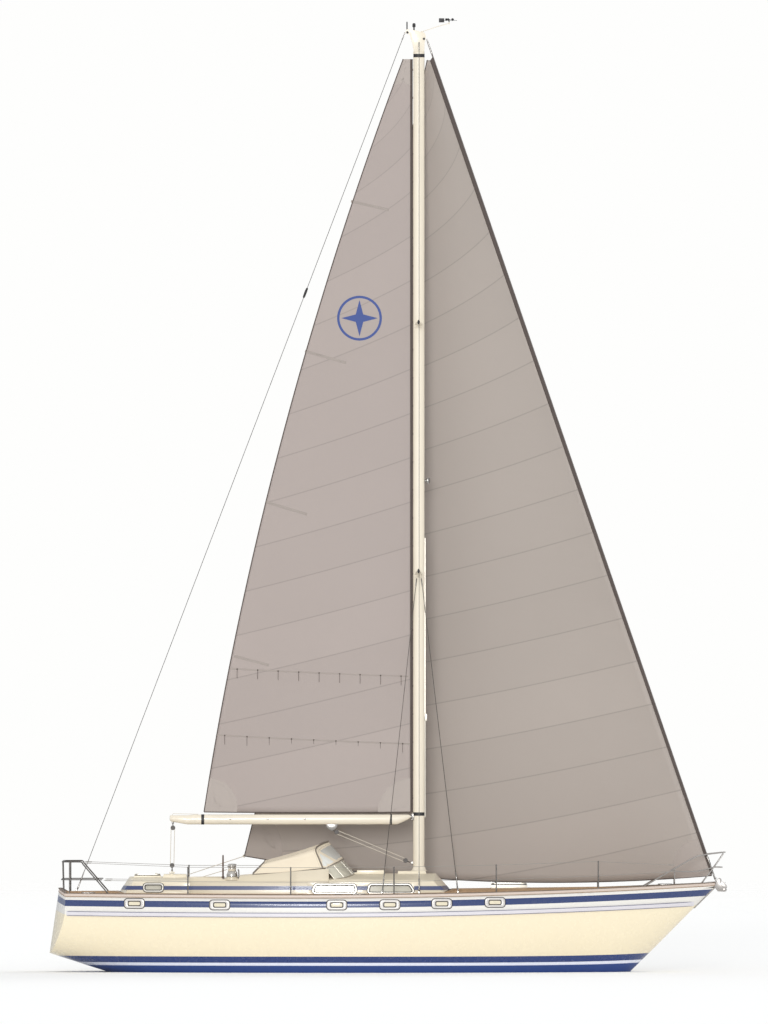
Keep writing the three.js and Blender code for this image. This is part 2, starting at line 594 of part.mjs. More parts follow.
// ---------------------------------------------------------------- windscreen and sprayhood
const quarter = (u) => [1 - Math.cos((u * Math.PI) / 2), Math.sin((u * Math.PI) / 2)];
const screenEdge = (u, centre, corner) => {
  const [bend, out] = quarter(Math.abs(u));
  return point(mix(centre.x, corner.x, bend), Math.sign(u) * corner.y * out, mix(centre.z, corner.z, bend));
};
const SCREEN_TOP = { centre: point(-483, 0, 2101), corner: point(-805, 1085, 1944) };
const SCREEN_FOOT = { centre: point(-206, 0, 1800), corner: point(-608, 1118, 1700) };
const screenGrid = steps(-1, 1, 16).map((u) => [
  screenEdge(u, SCREEN_FOOT.centre, SCREEN_FOOT.corner),
  screenEdge(u, SCREEN_TOP.centre, SCREEN_TOP.corner),
]);
const windscreenSolid = () => cut(
  skin(screenGrid, 12),
  coachroofClear,
  box(-300, 300, -387, 387, 1600, 1904),
  box(-760, -200, -378, 378, 1600, 1884),
);

// One bow of the sprayhood from its port foot over to its starboard foot.
function hoodBow(foot, corner, middle) {
  const half = new THREE.CatmullRomCurve3(
    [foot, foot.clone().lerp(corner, 0.55), corner.clone().lerp(foot, 0.12), corner.clone().lerp(middle, 0.1),
      corner.clone().lerp(middle, 0.5).add(point(0, 0, 18)), middle],
    false, "centripetal",
  ).getPoints(8);
  return [...half, ...half.slice(0, -1).reverse().map((p) => point(p.x, -p.y, p.z))];
}
function hoodGrid() {
  const lift = 8;
  const foreFoot = steps(1, -1, 16).map((u) =>
    screenEdge(u, SCREEN_TOP.centre, SCREEN_TOP.corner).add(point(0, 0, lift)));
  const main = hoodBow(point(-862, 1150, 1948), point(-1012, 1050, 2312), point(-765, 0, 2440));
  const aft = hoodBow(point(-2181, 1088, 1836), point(-1975, 1010, 2040), point(-1935, 0, 2085));
  const between = (a, b, t) => a.map((p, i) => p.clone().lerp(b[i], t));
  return [
    foreFoot, between(foreFoot, main, 0.5), main, between(main, aft, 0.33), between(main, aft, 0.67), aft,
  ];
}
const sprayhoodSolid = () => skin(hoodGrid(), 8);

// ---------------------------------------------------------------- steering, winches, deck gear
const WHEEL = { x: -2736, z: 1744, radius: 430, rim: 14 };
function wheelSolid() {
  const rim = fromGeometry(new THREE.TorusGeometry(WHEEL.radius, WHEEL.rim, 8, 36).rotateY(Math.PI / 2));
  const spokes = steps(0, 2 * Math.PI, 6).slice(0, 6).map((angle) =>
    bar([point(0, 0, 0), point(0, WHEEL.radius * Math.sin(angle), WHEEL.radius * Math.cos(angle))], 8, 6),
  );
  const hub = bar([point(-28, 0, 0), point(28, 0, 0)], 45, 16);
  return join([rim, hub, ...spokes]).translate([WHEEL.x, 0, WHEEL.z]);
}
const rectangle = (x0, x1, half, z) =>
  [[x0, half], [x1, half], [x1, -half], [x0, -half]].map((corner) => point(...corner, z));
const pedestalSolid = () => join([
  loft([rectangle(-2680, -2420, 130, SOLE_Z + GAP), rectangle(-2660, -2460, 90, 1690)]),
  bar([point(-2560, 0, 1685), point(-2560, 0, 1800)], 95, 16),
  bar([point(-2600, 0, WHEEL.z), point(WHEEL.x + 34, 0, WHEEL.z)], 20, 12),
]);
const WINCH_X = -2567;
const WINCH_LEDGE_Z = 1743;
const winchY = houseHalfWidth(WINCH_X) - 145;
const lathe = (profile, at) => fromGeometry(
  new THREE.LatheGeometry(profile.map(([r, z]) => new THREE.Vector2(r, z)), 24).rotateX(Math.PI / 2),
).translate(at);
const winchBase = (side) => lathe(
  [[0, -20], [125, -20], [125, 14], [100, 24], [100, 38], [0, 38]],
  [WINCH_X, side * winchY, WINCH_LEDGE_Z],
);
const winchDrum = (side) => lathe(
  [
    [0, 0], [84, 0], [96, 12], [96, 60], [66, 92], [56, 130], [58, 165], [86, 190], [86, 208], [60, 222],
    [0, 226],
  ],
  [WINCH_X, side * winchY, WINCH_LEDGE_Z + 44],
);

// Rails round the bow and stern, and the stanchions with their lifelines.
const RAIL_INSET = 90;
const railFoot = (x) => point(x, halfBeam(x) - RAIL_INSET, deckTop(x, halfBeam(x) - RAIL_INSET) + GAP);
const flange = (foot) => bar([foot, foot.clone().add(point(0, 0, 10))], 32, 8);
const both = (solids) => join([...solids, ...solids.map(mirror)]);
// A path on the port side, carried over to starboard in one sweep.
const overMiddle = (path) => [...path, ...[...path].reverse().map((p) => point(p.x, -p.y, p.z))];
function pulpitSolid() {
  const foot = railFoot(5048);
  const foreFoot = point(6190, 100, deckTop(6190, 100) + GAP);
  const top = [
    foot, point(6000, 425, 2095), point(6240, 370, 2185), point(6560, 230, 2228), point(6670, 130, 2240),
  ];
  const rail = bar(overMiddle(top), TUBE);
  const leg = bar([foreFoot, point(6480, 160, 1985), point(6640, 170, 2215)], TUBE);
  const step = bar(overMiddle([point(6455, 158, 1960), point(6600, 120, 1958)]), TUBE);
  const mid = bar([point(5640, 562, 1888), point(6100, 330, 1880), point(6450, 150, 1952)], TUBE * 0.8);
  const backLeg = bar([railFoot(5720), point(5720, 520, 1950)], TUBE);
  const feet = [foot, foreFoot, railFoot(5720)].map(flange);
  return cut(join([rail, step, both([leg, mid, backLeg, ...feet])]), underDeckSurface);
}
function pushpitSolid() {
  const foot = railFoot(-4831);
  const corner = railFoot(-5600);
  const topZ = 2069;
  const midZ = 1735;
  const wide = corner.y;
  const rail = bar(overMiddle([
    foot, point(-5388, wide + 40, topZ), point(-5600, wide - 10, topZ), point(-5735, wide - 120, topZ),
  ]), TUBE);
  const middle = bar(overMiddle([
    point(-4990, wide + 128, midZ), point(-5388, wide + 48, midZ), point(-5650, wide - 5, midZ),
    point(-5752, wide - 120, midZ),
  ]), TUBE * 0.8);
  const post = bar([corner, point(-5600, wide - 10, topZ)], TUBE);
  const sternPost = bar([point(-5720, 420, deckTop(-5720, 420) + GAP), point(-5735, 420, topZ)], TUBE);
  return cut(join([rail, middle, both([post, sternPost, flange(foot), flange(corner)])]), underDeckSurface);
}
const STANCHIONS = [-3384, -1462, 468, 2380, 4291];
const LIFELINE = {
  radius: 4,
  top: { height: 560, aft: point(-5342, 1150, 2050), fore: point(5735, 530, 2000) },
  lower: { height: 290, aft: point(-4960, 1234, 1722), fore: point(5600, 585, 1876) },
};
function guardrailSolid(side) {
  const over = (foot, height) => foot.clone().add(point(0, 0, height));
  const posts = STANCHIONS.flatMap((x) => [
    bar([railFoot(x), over(railFoot(x), LIFELINE.top.height + 8)], TUBE), flange(railFoot(x)),
  ]);
  const wires = [LIFELINE.top, LIFELINE.lower].map(({ height, aft, fore }) =>
    bar([aft, ...STANCHIONS.map((x) => over(railFoot(x), height)), fore], LIFELINE.radius, 6),
  );
  const made = cut(join([...posts, ...wires]), underDeckSurface);
  return side > 0 ? made : mirror(made);
}
function stemFittingSolid() {
  const top = sheer(BOW_X) + TOE_RAIL.height;
  const cheeks = [1, -1].map((side) => slabXZ(
    [
      [6545, top + 10], [6630, top + 8], [6700, top - 55], [6712, top - 110], [6640, top - 120],
      [6560, top - 60],
    ],
    side > 0 ? 44 : -52, side > 0 ? 52 : -44,
  ));
  const roller = bar([point(6672, -50, top - 88), point(6672, 50, top - 88)], 30, 16);
  const tray = box(6330, 6640, -50, 50, top + 2, top + 10);
  const band = slabXZ(
    [
      [stemX(1185) + 1, 1185], [stemX(1592) + 1, 1592], [BOW_X + 33, 1594], [BOW_X + 33, top + 6],
      [6570, top + 6], [6570, 1645], [stemX(1185) + 30, 1185],
    ],
    -16, 16,
  );
  return join([...cheeks, roller, tray, band]);
}

// ---------------------------------------------------------------- mast, spreaders, standing rigging
const ellipse = (cx, rx, ry, z, sides = 20) =>
  steps(0, 2 * Math.PI, sides).slice(0, sides).map((a) => point(cx + rx * Math.cos(a), ry * Math.sin(a), z));
const mastheadSolid = () => slabXZ(
  [
    [838, MAST_TOP_Z + GAP], [1036, MAST_TOP_Z + GAP], [1044, 17400], [1066, 17520], [1046, 17590],
    [860, 17640], [705, 17660], [678, 17590], [765, 17560], [812, 17390],
  ],
  -56, 56,
).add(sensorArm());
function spreaderSolid(spreader, side) {
  const section = (y, z, chord, thickness) => steps(0, 2 * Math.PI, 10).slice(0, 10).map((a) =>
    point(MAST_X - 12 + chord * Math.cos(a), side * y, z + thickness * Math.sin(a)));
  const rise = 0.06 * spreader.reach;
  return loft([section(30, spreader.z - rise, 75, 22), section(spreader.reach, spreader.z, 42, 12)]);
}
const STAY = 5;
const stay = (path, radius = STAY) => bar(path, radius, 6);
function capShroud(side) {
  const outside = 10;
  const path = [
    point(MAST_X, CHAINPLATE_Y, deckTop(MAST_X, CHAINPLATE_Y) + GAP),
    point(MAST_X, LOWER_SPREADER.reach + outside, LOWER_SPREADER.z),
    point(MAST_X, UPPER_SPREADER.reach + outside, UPPER_SPREADER.z),
    point(MAST_X, 63, 17420),
  ];
  const made = cut(stay(path), underDeckSurface);
  return side > 0 ? made : mirror(made);
}
function lowerShroud(x, side) {
  const rootX = MAST_X + Math.sign(x - MAST_X) * 45;
  const foot = point(x, CHAINPLATE_Y, deckTop(x, CHAINPLATE_Y) + GAP);
  const made = cut(stay([foot, point(rootX, MAST_HALF_WIDTH + 3, LOWER_SPREADER.z - 140)]), underDeckSurface);
  return side > 0 ? made : mirror(made);
}
const GENOA = { tack: point(6420, 0, 1800), head: point(1150, 0, 17080), clew: point(-2342, 1760, 2148) };
const FORESTAY = { foot: point(6500, 0, sheer(BOW_X) + TOE_RAIL.height + 14), head: point(1081, 0, 17480) };
const forestaySolid = () => stay([FORESTAY.foot, FORESTAY.head], 14);
const BACKSTAY_FOOT = point(-5480, 0, deckTop(-5480, 0) + GAP);
const backstaySolid = () => cut(stay([BACKSTAY_FOOT, point(674, 0, 17600)]), underDeckSurface);
const MAST_FRONT_X = MAST_X + MAST_HALF_LENGTH;
const MAST_BACK_X = MAST_X - MAST_HALF_LENGTH;
const poleTrackSolid = () => join([
  box(MAST_FRONT_X + GAP, MAST_FRONT_X + 22, -16, 16, 2890, 8130),
  box(MAST_FRONT_X + 6, MAST_FRONT_X + 48, -28, 28, 4700, 4830),
]);

// ---------------------------------------------------------------- boom and sails
const BOOM = { top: 2946, bottom: 2758, half: 62, fore: 778, aft: -3729 };
function boomSolid() {
  const section = (x, z0, z1, half) => steps(0, 2 * Math.PI, 12).slice(0, 12).map((a) =>
    point(x, half * Math.cos(a), (z0 + z1) / 2 + ((z1 - z0) / 2) * Math.sin(a)));
  const spar = loft([
    section(BOOM.aft, 2820, BOOM.top - 16, 44), section(-3400, BOOM.bottom, BOOM.top - 16, BOOM.half),
    section(-3300, BOOM.bottom, BOOM.top, BOOM.half), section(530, BOOM.bottom, BOOM.top, BOOM.half),
    section(740, 2855, BOOM.top, 34), section(BOOM.fore, 2880, 2925, 20),
  ]);
  const pin = bar([point(GOOSENECK_X, 0, 2868), point(GOOSENECK_X, 0, 2936)], 11, 10);
  const tongue = box(BOOM.fore - 30, GOOSENECK_X, -8, 8, 2888, 2916);
  const sheetEye = slabXZ([[-3700, 2835], [-3650, 2835], [-3660, 2770], [-3690, 2770]], -8, 8);
  return join([spar, pin, tongue, sheetEye]);
}
const gooseneckSolid = () => join([
  box(MAST_BACK_X - 20, MAST_BACK_X + 40, -34, 34, 2840, 2965),
  ...[2846, 2942].map((z) => box(GOOSENECK_X - 16, MAST_BACK_X + 40, -16, 16, z, z + 16)),
]);
const mastSolid = () => join([
  loft([
    ellipse(MAST_X, MAST_HALF_LENGTH, MAST_HALF_WIDTH, MAST_FOOT_Z),
    ellipse(MAST_X, MAST_HALF_LENGTH, MAST_HALF_WIDTH, MAST_TOP_Z),
  ]),
  gooseneckSolid(),
  ...[LOWER_SPREADER, UPPER_SPREADER].flatMap((spreader) =>
    [spreaderSolid(spreader, 1), spreaderSolid(spreader, -1)]),
]);

// A sail as a grid of points from luff to leech, row by row up to the head.
const SAIL_THICKNESS = 8;
const hump = (t) => 4 * t * (1 - t);
function mainsailGrid(rows = 16, columns = 8) {
  const luffX = 782;
  const [footZ, headZ] = [2992, 17100];
  return steps(0, 1, rows).map((h) => {
    const leechX = mix(-3092, 640, h) - 390 * hump(h);
    const depth = 0.075 * (1 - 0.35 * h) * Math.min(1, 6 * h) * (luffX - leechX);
    return steps(0, 1, columns).map((s) => {
      const droop = -12 * hump(s) * (1 - h);
      const bell = Math.sin(Math.PI * s ** 0.8);
      return point(mix(luffX, leechX, s), depth * bell, mix(footZ, headZ, h) + droop);
    });
  });
}
function genoaGrid(rows = 18, columns = 11) {
  return steps(0, 1, rows).map((h) => {
    const luff = GENOA.tack.clone().lerp(GENOA.head, h);
    const leech = GENOA.clew.clone().lerp(point(GENOA.head.x - 60, 0, GENOA.head.z), h);
    leech.x += 70 * hump(h);
    leech.y = 1760 * (1 - h) ** 0.55;
    const chord = luff.x - leech.x;
    const depth = mix(0.07, 0.11, Math.min(1, 4 * h)) * chord * Math.min(1, 8 * (1 - h));
    return steps(0, 1, columns).map((s) => {
      const along = luff.clone().lerp(leech, s);
      along.y += depth * Math.sin(Math.PI * s ** 0.85);
      along.z -= 290 * hump(s) * (1 - h) ** 6;
      return along;
    });
  });
}

// ---------------------------------------------------------------- masthead wind sensor
const SENSOR = point(1500, 0, 17790);
const fromSensor = (x, z) => SENSOR.clone().add(point(x, 0, z));
const sensorArm = () => join([
  bar([point(1000, 0, 17616), point(1300, 0, 17715), fromSensor(0, -20)], 7),
  bar([point(1000, 0, 17604), point(1000, 0, 17626)], 22, 12),
  bar([fromSensor(0, -34), fromSensor(0, -2)], 13, 12),
]);
const vaneSolid = () => join([
  bar([fromSensor(0, 4), fromSensor(0, 46)], 11, 12),
  bar([fromSensor(150, 36), fromSensor(-150, 36)], 4, 6),
  box(SENSOR.x - 190, SENSOR.x - 90, -2, 2, SENSOR.z - 2, SENSOR.z + 76),
]);

// ---------------------------------------------------------------- materials and nodes
const paint = (color, roughness, metalness = 0) =>
  new THREE.MeshStandardMaterial({ color, roughness, metalness });
const MATERIALS = {
  topsides: paint(0xfdf5db, 0.25),
  gelcoat: paint(0xf6efd8, 0.35),
  antifouling: paint(0x3c528a, 0.8),
  blue: paint(0x485593, 0.3),
  teak: paint(0xa98a63, 0.7),
  steel: paint(0xb9b7b0, 0.2, 1),
  spar: paint(0xefe4cf, 0.4),
  wire: paint(0x8f8d88, 0.3, 1),
  sailcloth: paint(0xb9afa6, 0.8),
  canvas: paint(0xf3ead2, 0.9),
  glass: paint(0x56605c, 0.1),
  bronze: paint(0x9a7a45, 0.3, 1),
  iron: paint(0x5c6b6a, 0.6),
};

const yacht = new THREE.Group();
function add(name, material, solid) {
  const mesh = solid.getMesh();
  const geometry = new THREE.BufferGeometry();
  const positions = new Float32Array(mesh.numVert * 3);
  for (let i = 0; i < mesh.numVert; i++) {
    positions.set(mesh.vertProperties.subarray(i * mesh.numProp, i * mesh.numProp + 3), i * 3);
  }
  geometry.setAttribute("position", new THREE.BufferAttribute(positions, 3));
  geometry.setIndex(new THREE.BufferAttribute(mesh.triVerts, 1));
  geometry.computeVertexNormals();
  const node = new THREE.Mesh(geometry, MATERIALS[material]);
  node.name = name;
  yacht.add(node);
}
const SIDES = [["port", 1], ["starboard", -1]];

add("hull", "topsides", hullSolid());
add("deck", "teak", deckSolid());
add("fin_keel", "antifouling", keelSolid());
add("skeg", "antifouling", skegSolid());
add("rudder", "antifouling", rudderSolid());
add("propeller", "bronze", propellerSolid());
add("shaft_bracket", "bronze", bracketSolid());
add("engine", "iron", box(ENGINE.x0, ENGINE.x1, -ENGINE.half, ENGINE.half, ENGINE.z0, ENGINE.z1));
add("toe_rail", "teak", toeRailSolid());
add("coachroof", "gelcoat", coachroofSolid());
add("aft_cabin_top", "gelcoat", aftRoofSolid());
add("cockpit", "gelcoat", cockpitSolid());
add("companionway_hatch", "glass", box(HATCH.x0, HATCH.x1, -HATCH.half, HATCH.half, HATCH.z0, HATCH.z1));
add("hatch_garage", "gelcoat", garageSolid());
const washboardHalf = COMPANIONWAY_HALF - 2;
add("washboard", "teak", box(-746, -724, -washboardHalf, washboardHalf, SEAT_Z + 2, HATCH.z0 - 8));
add("forehatch_frame", "gelcoat", frame(FOREHATCH, underDeckSurface, 1500, 1626));
add("forehatch_lid", "gelcoat", lid(FOREHATCH, 1627, 1655));
add("aft_hatch_lid", "gelcoat", lid(AFT_HATCH, 1803, 1829));
add("mainsheet_traveller", "gelcoat", travellerSolid());
add("windscreen", "glass", windscreenSolid());
add("sprayhood", "canvas", sprayhoodSolid());
add("steering_pedestal", "gelcoat", pedestalSolid());
add("steering_wheel", "steel", wheelSolid());
add("pulpit", "steel", pulpitSolid());
add("pushpit", "steel", pushpitSolid());
add("stem_fitting", "steel", stemFittingSolid());
add("mast", "spar", mastSolid());
add("masthead", "spar", mastheadSolid());
add("pole_track", "spar", poleTrackSolid());
add("boom", "spar", boomSolid());
add("mainsail", "sailcloth", skin(mainsailGrid(), SAIL_THICKNESS));
add("genoa", "sailcloth", skin(genoaGrid(), SAIL_THICKNESS));
add("forestay", "wire", forestaySolid());
add("backstay", "wire", backstaySolid());
add("wind_vane", "steel", vaneSolid());
for (const [name, side] of SIDES) {
  for (const [window, outline] of Object.entries({ ...WINDOWS, aft_cabin_window: AFT_WINDOW })) {
    add(`${window}_${name}`, "glass", pane(outline, side));
  }
  const strake = cut(strakeSolid(side), bodyUnder(DECK_THICKNESS));
  add(`rubbing_strake_${name}`, "gelcoat", strake.translate([0, side * GAP, 0]));
  add(`locker_lid_${name}`, "teak", lockerLid(side));
  add(`winch_drum_${name}`, "steel", winchDrum(side));
  add(`guardrail_${name}`, "steel", guardrailSolid(side));
  add(`cap_shroud_${name}`, "wire", capShroud(side));
  add(`fore_lower_shroud_${name}`, "wire", lowerShroud(1668, side));
  add(`aft_lower_shroud_${name}`, "wire", lowerShroud(244, side));
}

export default yacht;
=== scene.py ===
import json
import math

import bmesh
import bpy
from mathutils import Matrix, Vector


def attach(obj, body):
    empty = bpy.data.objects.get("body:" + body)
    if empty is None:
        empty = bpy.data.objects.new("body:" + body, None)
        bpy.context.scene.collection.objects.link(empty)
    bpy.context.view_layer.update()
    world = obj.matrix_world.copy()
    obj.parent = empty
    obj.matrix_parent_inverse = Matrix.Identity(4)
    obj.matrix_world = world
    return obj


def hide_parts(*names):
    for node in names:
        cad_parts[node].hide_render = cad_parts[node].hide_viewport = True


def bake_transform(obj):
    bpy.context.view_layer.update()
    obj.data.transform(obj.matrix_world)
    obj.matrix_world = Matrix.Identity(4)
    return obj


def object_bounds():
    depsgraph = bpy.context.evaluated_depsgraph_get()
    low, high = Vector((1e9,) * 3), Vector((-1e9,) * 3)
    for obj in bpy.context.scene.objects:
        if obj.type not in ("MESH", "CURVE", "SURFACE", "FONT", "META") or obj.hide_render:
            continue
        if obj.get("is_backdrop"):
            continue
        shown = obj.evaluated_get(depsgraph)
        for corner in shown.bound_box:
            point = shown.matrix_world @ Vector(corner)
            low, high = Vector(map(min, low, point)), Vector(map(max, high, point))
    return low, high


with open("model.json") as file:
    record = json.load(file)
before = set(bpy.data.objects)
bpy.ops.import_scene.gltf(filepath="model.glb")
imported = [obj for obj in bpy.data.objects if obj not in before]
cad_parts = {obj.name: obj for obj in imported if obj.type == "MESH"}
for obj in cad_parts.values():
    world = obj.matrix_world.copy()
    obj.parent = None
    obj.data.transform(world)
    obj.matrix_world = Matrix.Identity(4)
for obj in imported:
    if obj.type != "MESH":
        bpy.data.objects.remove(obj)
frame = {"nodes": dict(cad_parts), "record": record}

cad_low, cad_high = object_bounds()
body_of = {node: body for body, members in frame["record"]["behaviour"]["bodies"].items()
           for node in members}

# ------------------------------------------------------------------ studio
# The yacht floats, so the pale floor lies at her waterline and hides what is under water from ahead.
# She is seen square on from her starboard side, from far enough away for the view to be nearly flat.
VIEW_CENTRE = Vector((0.281, 0.0, 8.613))
VIEW_HEIGHT = 19.19
CAMERA_DISTANCE = 600.0
FLOOR_HALF = 160.0
FLOOR_FADES = (75.0, 150.0)  # from the middle

scene = bpy.context.scene
camera = bpy.data.objects.new("camera", bpy.data.cameras.new("camera"))
camera.data.sensor_width = 36.0
camera.data.lens = 36.0 * CAMERA_DISTANCE / VIEW_HEIGHT
camera.data.clip_end = 3 * CAMERA_DISTANCE
camera.location = VIEW_CENTRE + Vector((0.0, -CAMERA_DISTANCE, 0.0))
camera.rotation_euler = (math.pi / 2, 0.0, 0.0)
scene.collection.objects.link(camera)
scene.camera = camera
scene.view_settings.view_transform = "Standard"


def colour(red, green, blue):
    """A colour given as it looks on a screen, 0 to 255, as Blender's linear values."""
    def linear(c):
        c /= 255
        return c / 12.92 if c <= 0.04045 else ((c + 0.055) / 1.055) ** 2.4
    return (linear(red), linear(green), linear(blue), 1.0)


class Nodes:
    """Adds nodes to a tree. An input is a value or another node's output socket."""

    def __init__(self, owner):
        if isinstance(owner, bpy.types.NodeTree):
            self.tree = owner
        else:
            owner.use_nodes = True
            self.tree = owner.node_tree
        self.tree.nodes.clear()

    def add(self, kind, inputs=None, **settings):
        node = self.tree.nodes.new(kind)
        for name, value in settings.items():
            setattr(node, name, value)
        for name, value in (inputs or {}).items():
            if isinstance(value, bpy.types.NodeSocket):
                self.tree.links.new(value, node.inputs[name])
            else:
                node.inputs[name].default_value = value
        return node

    def maths(self, operation, first, second=0.0, clamp=False):
        node = self.add("ShaderNodeMath", {0: first, 1: second}, operation=operation, use_clamp=clamp)
        return node.outputs[0]

    def blend(self, amount, first, second, blend_type="MIX"):
        settings = {"data_type": "RGBA", "blend_type": blend_type}
        return self.add("ShaderNodeMix", {0: amount, 6: first, 7: second}, **settings).outputs[2]

    def steps(self, value, stops, interpolation="CONSTANT"):
        """A colour ramp through (position, colour) stops."""
        ramp = self.add("ShaderNodeValToRGB", {"Fac": value})
        ramp.color_ramp.interpolation = interpolation
        elements = ramp.color_ramp.elements
        while len(elements) < len(stops):
            elements.new(1.0)
        for element, (position, tint) in zip(elements, stops):
            element.position, element.color = position, tint
        return ramp.outputs["Color"]


world = bpy.data.worlds.new("studio")
scene.world = world
nodes = Nodes(world)
direction = nodes.add("ShaderNodeTexCoord").outputs["Generated"]
height = nodes.add("ShaderNodeSeparateXYZ", {"Vector": direction}).outputs["Z"]
sky = nodes.steps(height, [(0.0, colour(178, 183, 190)), (0.35, colour(226, 228, 230)),
                           (1.0, colour(252, 252, 252))], "EASE")
rays = nodes.add("ShaderNodeLightPath").outputs["Is Camera Ray"]
seen = nodes.blend(rays, sky, colour(254, 254, 253))
backdrop = nodes.add("ShaderNodeBackground", {"Color": seen, "Strength": 1.0})
nodes.add("ShaderNodeOutputWorld", {"Surface": backdrop.outputs[0]})


def sun(name, strength, direction, softness):
    """A soft lamp far away that shines along a direction."""
    lamp = bpy.data.objects.new(name, bpy.data.lights.new(name, "SUN"))
    lamp.data.energy = strength
    lamp.data.angle = math.radians(softness)
    lamp.rotation_euler = Vector(direction).to_track_quat("-Z", "Y").to_euler()
    scene.collection.objects.link(lamp)


sun("key", 1.55, (0.07, 0.97, -0.13), 14)
sun("fill", 0.7, (-0.6, -0.55, -0.5), 40)


def link(name, mesh, *materials):
    """Puts a mesh in the scene as an object at the origin."""
    piece = bpy.data.objects.new(name, mesh)
    scene.collection.objects.link(piece)
    mesh.materials.clear()
    for material in materials:
        mesh.materials.append(material)
    return piece


floor_material = bpy.data.materials.new("floor")
nodes = Nodes(floor_material)
matt = nodes.add("ShaderNodeBsdfDiffuse", {"Color": colour(250, 250, 249)})
clear = nodes.add("ShaderNodeBsdfTransparent")
where = nodes.add("ShaderNodeTexCoord").outputs["Object"]
away = nodes.add("ShaderNodeVectorMath", {0: where}, operation="LENGTH").outputs["Value"]
fade = nodes.add("ShaderNodeMapRange",
                 {"Value": away, "From Min": FLOOR_FADES[0], "From Max": FLOOR_FADES[1]},
                 interpolation_type="SMOOTHSTEP").outputs["Result"]
water = nodes.add("ShaderNodeMixShader", {0: fade, 1: matt.outputs[0], 2: clear.outputs[0]})
nodes.add("ShaderNodeOutputMaterial", {"Surface": water.outputs[0]})
floor_mesh = bpy.data.meshes.new("floor")
floor_mesh.from_pydata(
    [(x * FLOOR_HALF, y * FLOOR_HALF, 0.0) for x, y in ((-1, -1), (1, -1), (1, 1), (-1, 1))], [],
                       [(0, 1, 2, 3)])
link("floor", floor_mesh, floor_material)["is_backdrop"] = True

# ------------------------------------------------------------------ hull
# One glass-fibre moulding, cream gelcoat with a blue band under the deck edge, a blue and white boot top and
# blue antifouling. The outer skin is laid over the hull's inner body, which holds the cabins and the cockpit.
BOW_X = 6.5
STERN_X = -5.987
TRANSOM_FOOT_Z = 0.349
FORE_WATERLINE_X = 4.891
BEAM_X = -0.4
MAX_HALF_BEAM = 1.95
SHEER_LOW = Vector((-1.3, 1.395))
BAND = (0.058, 0.172)  # the blue band, below the deck edge
STRAKE = (0.27, 0.358)  # the rubbing strake, below the deck edge
BOOT = {"top": 0.305, "white_top": 0.187, "antifouling": 0.129}
BOTTOM_KNOTS = [
    (-6.3, 0.449), (STERN_X, TRANSOM_FOOT_Z), (-4.891, 0.0), (-3.9, -0.285), (-2.6, -0.51), (-1.2, -0.632),
    (0.2, -0.66), (1.6, -0.628), (2.9, -0.535), (3.9, -0.405), (4.45, -0.285), (4.74, -0.14),
    (FORE_WATERLINE_X, 0.0), (BOW_X, 1.609),
]


def share(first, last, count):
    """Evenly spaced values from first to last."""
    return [first + (last - first) * i / count for i in range(count + 1)]


def mix(first, last, t):
    return first + (last - first) * t


def sheer(x):
    rise = 3.47e-3 if x > SHEER_LOW[0] else 1.2e-3
    return SHEER_LOW[1] + rise * (x - SHEER_LOW[0]) ** 2


def half_beam(x):
    if x > BEAM_X:
        return MAX_HALF_BEAM * (1 - ((x - BEAM_X) / (BOW_X + 0.06 - BEAM_X)) ** 2.2)
    return MAX_HALF_BEAM - 0.77 * ((BEAM_X - x) / (BEAM_X + 5.684)) ** 2


def deck_height(x, y):
    wide = half_beam(x)
    return sheer(x) + 0.07 * wide * (1 - (y / wide) ** 2)


def smooth_through(knots):
    """A height through (place, height) knots that never overshoots them."""
    slopes = [(b[1] - a[1]) / (b[0] - a[0]) for a, b in zip(knots, knots[1:])]
    tangents = []
    for i in range(len(knots)):
        before, after = slopes[max(0, i - 1)], slopes[min(len(slopes) - 1, i)]
        tangents.append(0.0 if before * after <= 0 else 2 * before * after / (before + after))

    def height_at(x):
        i = 0
        while i < len(knots) - 2 and x > knots[i + 1][0]:
            i += 1
        (x0, z0), (x1, z1) = knots[i], knots[i + 1]
        h, t = x1 - x0, (x - x0) / (x1 - x0)
        level = mix(z0, z1, t * t * (3 - 2 * t))
        return level + h * t * (1 - t) * ((1 - t) * tangents[i] - t * tangents[i + 1])
    return height_at


bottom_line = smooth_through(BOTTOM_KNOTS)


def hull_point(x, turn, side):
    """A point of the skin: turn is 0 along the keel line and 1 at the deck edge."""
    power = 2 / (2.5 - 1.15 * max(0.0, x / BOW_X) ** 1.5)
    low = min(bottom_line(x), sheer(x) - 0.004)
    angle = turn * math.pi / 2
    y = half_beam(x) * math.sin(angle) ** power
    z = sheer(x) - (sheer(x) - low) * max(0.0, math.cos(angle)) ** power
    return Vector((x, side * y, z))


def hull_side(x, drop, proud=0.0, side=1):
    """A point of the topsides a drop below the deck edge, standing proud of them."""
    power = 2.5 - 1.15 * max(0.0, x / BOW_X) ** 1.5
    depth = drop / (sheer(x) - bottom_line(x))
    wide = half_beam(x) * max(0.0, 1 - depth ** power) ** (1 / power)
    return Vector((x, side * (wide + proud), sheer(x) - drop))


def transom_x(y, z):
    curve = mix(0.14, 0.098, min(1.0, max(0.0, (z - 1.09) / 0.37)))
    return STERN_X + 0.1493 * (z - TRANSOM_FOOT_Z) + curve * y * y


def grid_mesh(name, rows, closed=False):
    """A mesh of quads through rows of points. closed joins each row's ends."""
    count = len(rows[0])
    faces = []
    for i in range(len(rows) - 1):
        for j in range(count if closed else count - 1):
            k = (j + 1) % count
            faces.append((i * count + j, i * count + k, (i + 1) * count + k, (i + 1) * count + j))
    mesh = bpy.data.meshes.new(name)
    mesh.from_pydata([tuple(p) for row in rows for p in row], [], faces)
    return mesh


